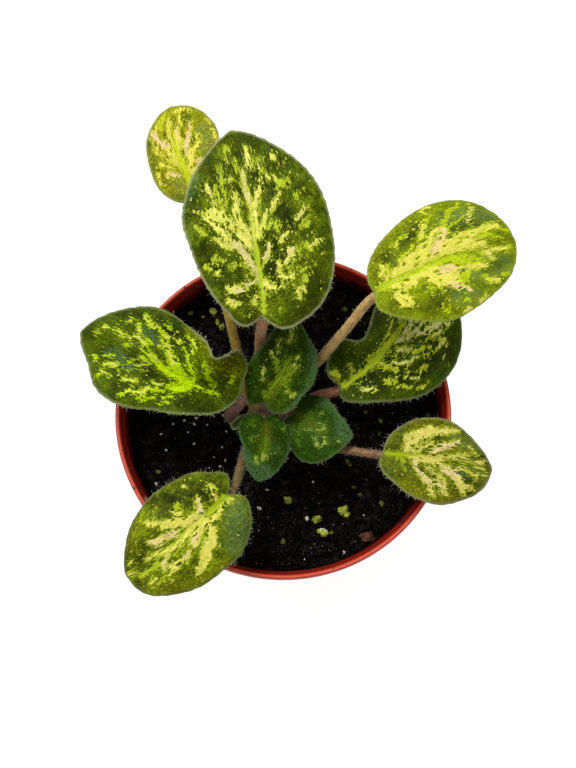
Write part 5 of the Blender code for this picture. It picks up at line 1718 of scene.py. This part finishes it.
def grain_mesh(name, places, level, seed, squash):
    """Make rough grains at given places of the soil."""
    work = bmesh.new()
    lights = []
    for index, (x, y, radius, *light) in enumerate(places):
        made = bmesh.ops.create_icosphere(work, subdivisions=level, radius=radius * MM)["verts"]
        spin = Matrix.Rotation(index * 2.4, 3, "Z") @ Matrix.Rotation(0.4 * math.sin(index * 1.7), 3, "X")
        seat = Vector((x * MM, y * MM, soil_top(x * MM, y * MM) + 0.4 * radius * MM))
        for vertex in made:
            lump = 1 + 0.6 * noise.noise(vertex.co * (1.6 / (radius * MM)) + Vector((seed, index * 3.1, 0)))
            stretch = Vector((1.15 + 0.2 * math.sin(index * 5.1), 0.9, squash))
            vertex.co = spin @ (Vector([a * b for a, b in zip(vertex.co, stretch)]) * lump) + seat
        lights += (light or [0.5]) * len(made)
    mesh = mesh_of(work, name)
    store(mesh, "light", lights)
    mesh.shade_smooth()
    return mesh


class VIOLET_OT_crown(bpy.types.Operator):
    """Make the short stem that carries the stalks"""

    bl_idname = "violet.crown"
    bl_label = "Crown"

    def execute(self, context):
        profile = [(0.0, CROWN_TOP), (2.2 * MM, CROWN_TOP - 0.05 * MM), (3.6 * MM, CROWN_TOP - 0.3 * MM),
                   (4.6 * MM, CROWN_TOP - 0.9 * MM), (4.95 * MM, CROWN_TOP - 2 * MM),
                   (4.8 * MM, CROWN_TOP - 4 * MM), (4.95 * MM, CROWN_TOP - 6 * MM),
                   (4.9 * MM, CROWN_TOP - 9 * MM), (4.6 * MM, 66 * MM),
                   (4.2 * MM, 62 * MM), (3.4 * MM, CROWN_FOOT), (0.0, CROWN_FOOT)]
        mesh = turned_mesh("short_stem", profile, 72)
        for vertex in mesh.vertices:
            if 0.5 * MM < math.hypot(vertex.co.x, vertex.co.y):
                ripple = noise.fractal(vertex.co * 420, 0.8, 2.1, 3)
                vertex.co.x *= 1 + 0.05 * ripple - 0.02
                vertex.co.y *= 1 + 0.05 * ripple - 0.02
            vertex.co.x += CROWN_CENTRE[0]
            vertex.co.y += CROWN_CENTRE[1]
        outwards(mesh)
        bark = speck_material("stem_bark", (74, 48, 28), (148, 112, 66), 380.0, 0.7, 0.25 * MM)
        finish_piece(new_object("short_stem", mesh, bark), "crown_bark", "crown")
        return {"FINISHED"}


def is_young(name):
    """Say whether a leaf is one of the small ones at the crown."""
    return name.startswith("heart") or name == "bud"


def leaf_slot(name):
    """Slot of a leaf's blade and hairs."""
    return "leaf_young" if is_young(name) else "leaf_green"


class VIOLET_OT_blades(bpy.types.Operator):
    """Make the eleven variegated blades"""

    bl_idname = "violet.blades"
    bl_label = "Blades"

    def execute(self, context):
        settings = context.scene.violet_leaves
        group = markings_group()
        for seed, (name, leaf) in enumerate(LEAVES.items()):
            mesh = blade_mesh(name, leaf, settings.thickness / MM, settings.relief / MM, seed + 1)
            blade = new_object("leaf_" + name, mesh, blade_material(name, group), under_material(name))
            finish_piece(blade, leaf_slot(name), "blade_" + name)
        return {"FINISHED"}


class VIOLET_OT_stalks(bpy.types.Operator):
    """Make the stalks, each running on as a keel under its blade"""

    bl_idname = "violet.stalks"
    bl_label = "Stalks"

    def execute(self, context):
        settings = context.scene.violet_leaves
        tree = tube_tree()
        for name, leaf in LEAVES.items():
            line, radii, along = stalk_path(leaf)
            path = bpy.data.meshes.new("path")
            steps = [(i, i + 1) for i in range(len(line) - 1)]
            path.from_pydata([tuple(point * MM) for point in line], steps, [])
            store(path, "thick", radii * MM)
            store(path, "along", along)
            store(path, "fringe", np.where(along < 0.999, 0.5, 0.15))
            mesh = grown("petiole_" + name, path, tree, Sides=settings.sides, Finish=stalk_material(name))
            finish_piece(new_object("petiole_" + name, mesh), "stalk_tan", "stalk_" + name)
        return {"FINISHED"}


class VIOLET_OT_hairs(bpy.types.Operator):
    """Set fine pale hairs on every blade, rim and stalk"""

    bl_idname = "violet.hairs"
    bl_label = "Hairs"

    def execute(self, context):
        settings = context.scene.violet_leaves
        tree = hair_tree()
        green = hair_material("leaf_hairs", (74, 90, 6), (140, 156, 36))
        pale = hair_material("rim_hairs", (206, 204, 184), (246, 244, 236))
        for seed, name in enumerate(LEAVES):
            blade = bpy.data.objects["leaf_" + name].data
            stalk = bpy.data.objects["petiole_" + name].data
            length, radius = (0.9, 1.2) if is_young(name) else (1.25, 1.5)
            rim = {"Where": "fringe", "Segments": 2, "Finish": pale}
            parts = (
                grown("coat", blade, tree, Where="coat", Density=settings.coat, Length=settings.hair * 0.8,
                      Radius=settings.hair_radius, Segments=1, Tilt=0.5, Seed=seed * 10 + 1, Finish=green),
                grown("fringe", blade, tree, Density=settings.fringe, Length=settings.hair * length,
                      Radius=settings.hair_radius * radius, Bend=0.35, Tilt=0.5, Seed=seed * 10 + 2, **rim),
                grown("down", stalk, tree, Density=settings.fringe * 0.8, Length=settings.hair * 0.85,
                      Radius=settings.hair_radius, Bend=0.3, Tilt=0.45, Seed=seed * 10 + 3, **rim),
            )
            work = bmesh.new()
            for index, part in enumerate(parts):
                before = len(work.faces)
                work.from_mesh(part)
                work.faces.ensure_lookup_table()
                for face in work.faces[before:]:
                    face.material_index = min(index, 1)
            mesh = mesh_of(work, "hairs_" + name)
            for part in parts:
                bpy.data.meshes.remove(part)
            mesh.shade_smooth()
            finish_piece(new_object("hairs_" + name, mesh, green, pale), leaf_slot(name))
        return {"FINISHED"}


class VIOLET_OT_stage(bpy.types.Operator):
    """Set the camera, the plain white floor and the soft light"""

    bl_idname = "violet.stage"
    bl_label = "Stage"

    def execute(self, context):
        scene = context.scene
        settings = scene.violet_stage
        scene.view_settings.view_transform = "Standard"
        scene.view_settings.look = "None"

        lens = bpy.data.cameras.new("camera")
        lens.lens = CAMERA_LENS
        lens.sensor_width = 36.0
        lens.clip_start = 0.01
        lens.clip_end = 20.0
        camera = bpy.data.objects.new("camera", lens)
        camera.location = CAMERA_PLACE
        camera.rotation_euler = (math.radians(CAMERA_TILT), 0.0, 0.0)
        scene.collection.objects.link(camera)
        scene.camera = camera

        half = settings.floor / 2
        corners = [(x * half, y * half, -0.2 * MM) for x, y in ((-1, -1), (1, -1), (1, 1), (-1, 1))]
        mesh = mesh_from("floor", corners, [(0, 1, 2, 3)], smooth=False)
        white, tree, shader = new_material("white_floor", 0.1)
        shader.inputs["Emission Color"].default_value = (1.0, 1.0, 1.0, 1.0)
        shader.inputs["Emission Strength"].default_value = 0.87
        drift = cloud(own_place(tree), 3.0)
        painted(shader, mixed(drift, (150, 150, 150), (154, 154, 154)), drift * 0.1 + 0.8)
        new_object("floor", mesh, white)

        world = bpy.data.worlds.new("studio")
        world.use_nodes = True
        scene.world = world
        back = world.node_tree.nodes["Background"]
        back.inputs["Color"].default_value = (1.0, 1.0, 1.0, 1.0)
        seen = Signal(add(world.node_tree, "ShaderNodeLightPath").outputs["Is Camera Ray"])
        feed(back.inputs["Strength"], seen * (1.0 - settings.ambient) + settings.ambient)

        lamp = bpy.data.lights.new("key", "AREA")
        lamp.shape = "DISK"
        lamp.size = 0.7
        lamp.energy = settings.key
        lamp.color = (1.0, 0.985, 0.95)
        key = bpy.data.objects.new("key", lamp)
        key.location = LAMP_PLACE
        aim = Vector(LAMP_AIM) - key.location
        key.rotation_euler = aim.to_track_quat("-Z", "Y").to_euler()
        scene.collection.objects.link(key)
        return {"FINISHED"}


PIECES = (VIOLET_OT_stage, VIOLET_OT_pot, VIOLET_OT_soil, VIOLET_OT_crown, VIOLET_OT_blades,
          VIOLET_OT_stalks, VIOLET_OT_hairs)


class VIOLET_PT_panel(bpy.types.Panel):
    """Buttons and sizes of the potted african violet"""

    bl_idname = "VIOLET_PT_panel"
    bl_label = "Potted African Violet"
    bl_space_type = "VIEW_3D"
    bl_region_type = "UI"
    bl_category = "Violet"

    def draw(self, context):
        for piece in PIECES:
            self.layout.operator(piece.bl_idname)
        for name in ("violet_pot", "violet_soil", "violet_leaves", "violet_stage"):
            settings = getattr(context.scene, name)
            box = self.layout.box()
            for word in settings.__annotations__:
                box.prop(settings, word)


GROUPS = {"violet_pot": VioletPot, "violet_soil": VioletSoil, "violet_leaves": VioletLeaves,
          "violet_stage": VioletStage}


def register():
    """Register the settings, operators and panel."""
    for group in GROUPS.values():
        bpy.utils.register_class(group)
    for name, group in GROUPS.items():
        setattr(bpy.types.Scene, name, PointerProperty(type=group))
    for piece in PIECES:
        bpy.utils.register_class(piece)
    bpy.utils.register_class(VIOLET_PT_panel)


def unregister():
    """Remove what register adds."""
    bpy.utils.unregister_class(VIOLET_PT_panel)
    for piece in reversed(PIECES):
        bpy.utils.unregister_class(piece)
    for name, group in GROUPS.items():
        delattr(bpy.types.Scene, name)
        bpy.utils.unregister_class(group)


def main():
    """Make the plant."""
    register()
    bpy.ops.violet.stage()
    bpy.ops.violet.pot()
    bpy.ops.violet.soil()
    bpy.ops.violet.crown()
    bpy.ops.violet.blades()
    bpy.ops.violet.stalks()
    bpy.ops.violet.hairs()


if __name__ == "__main__":
    main()
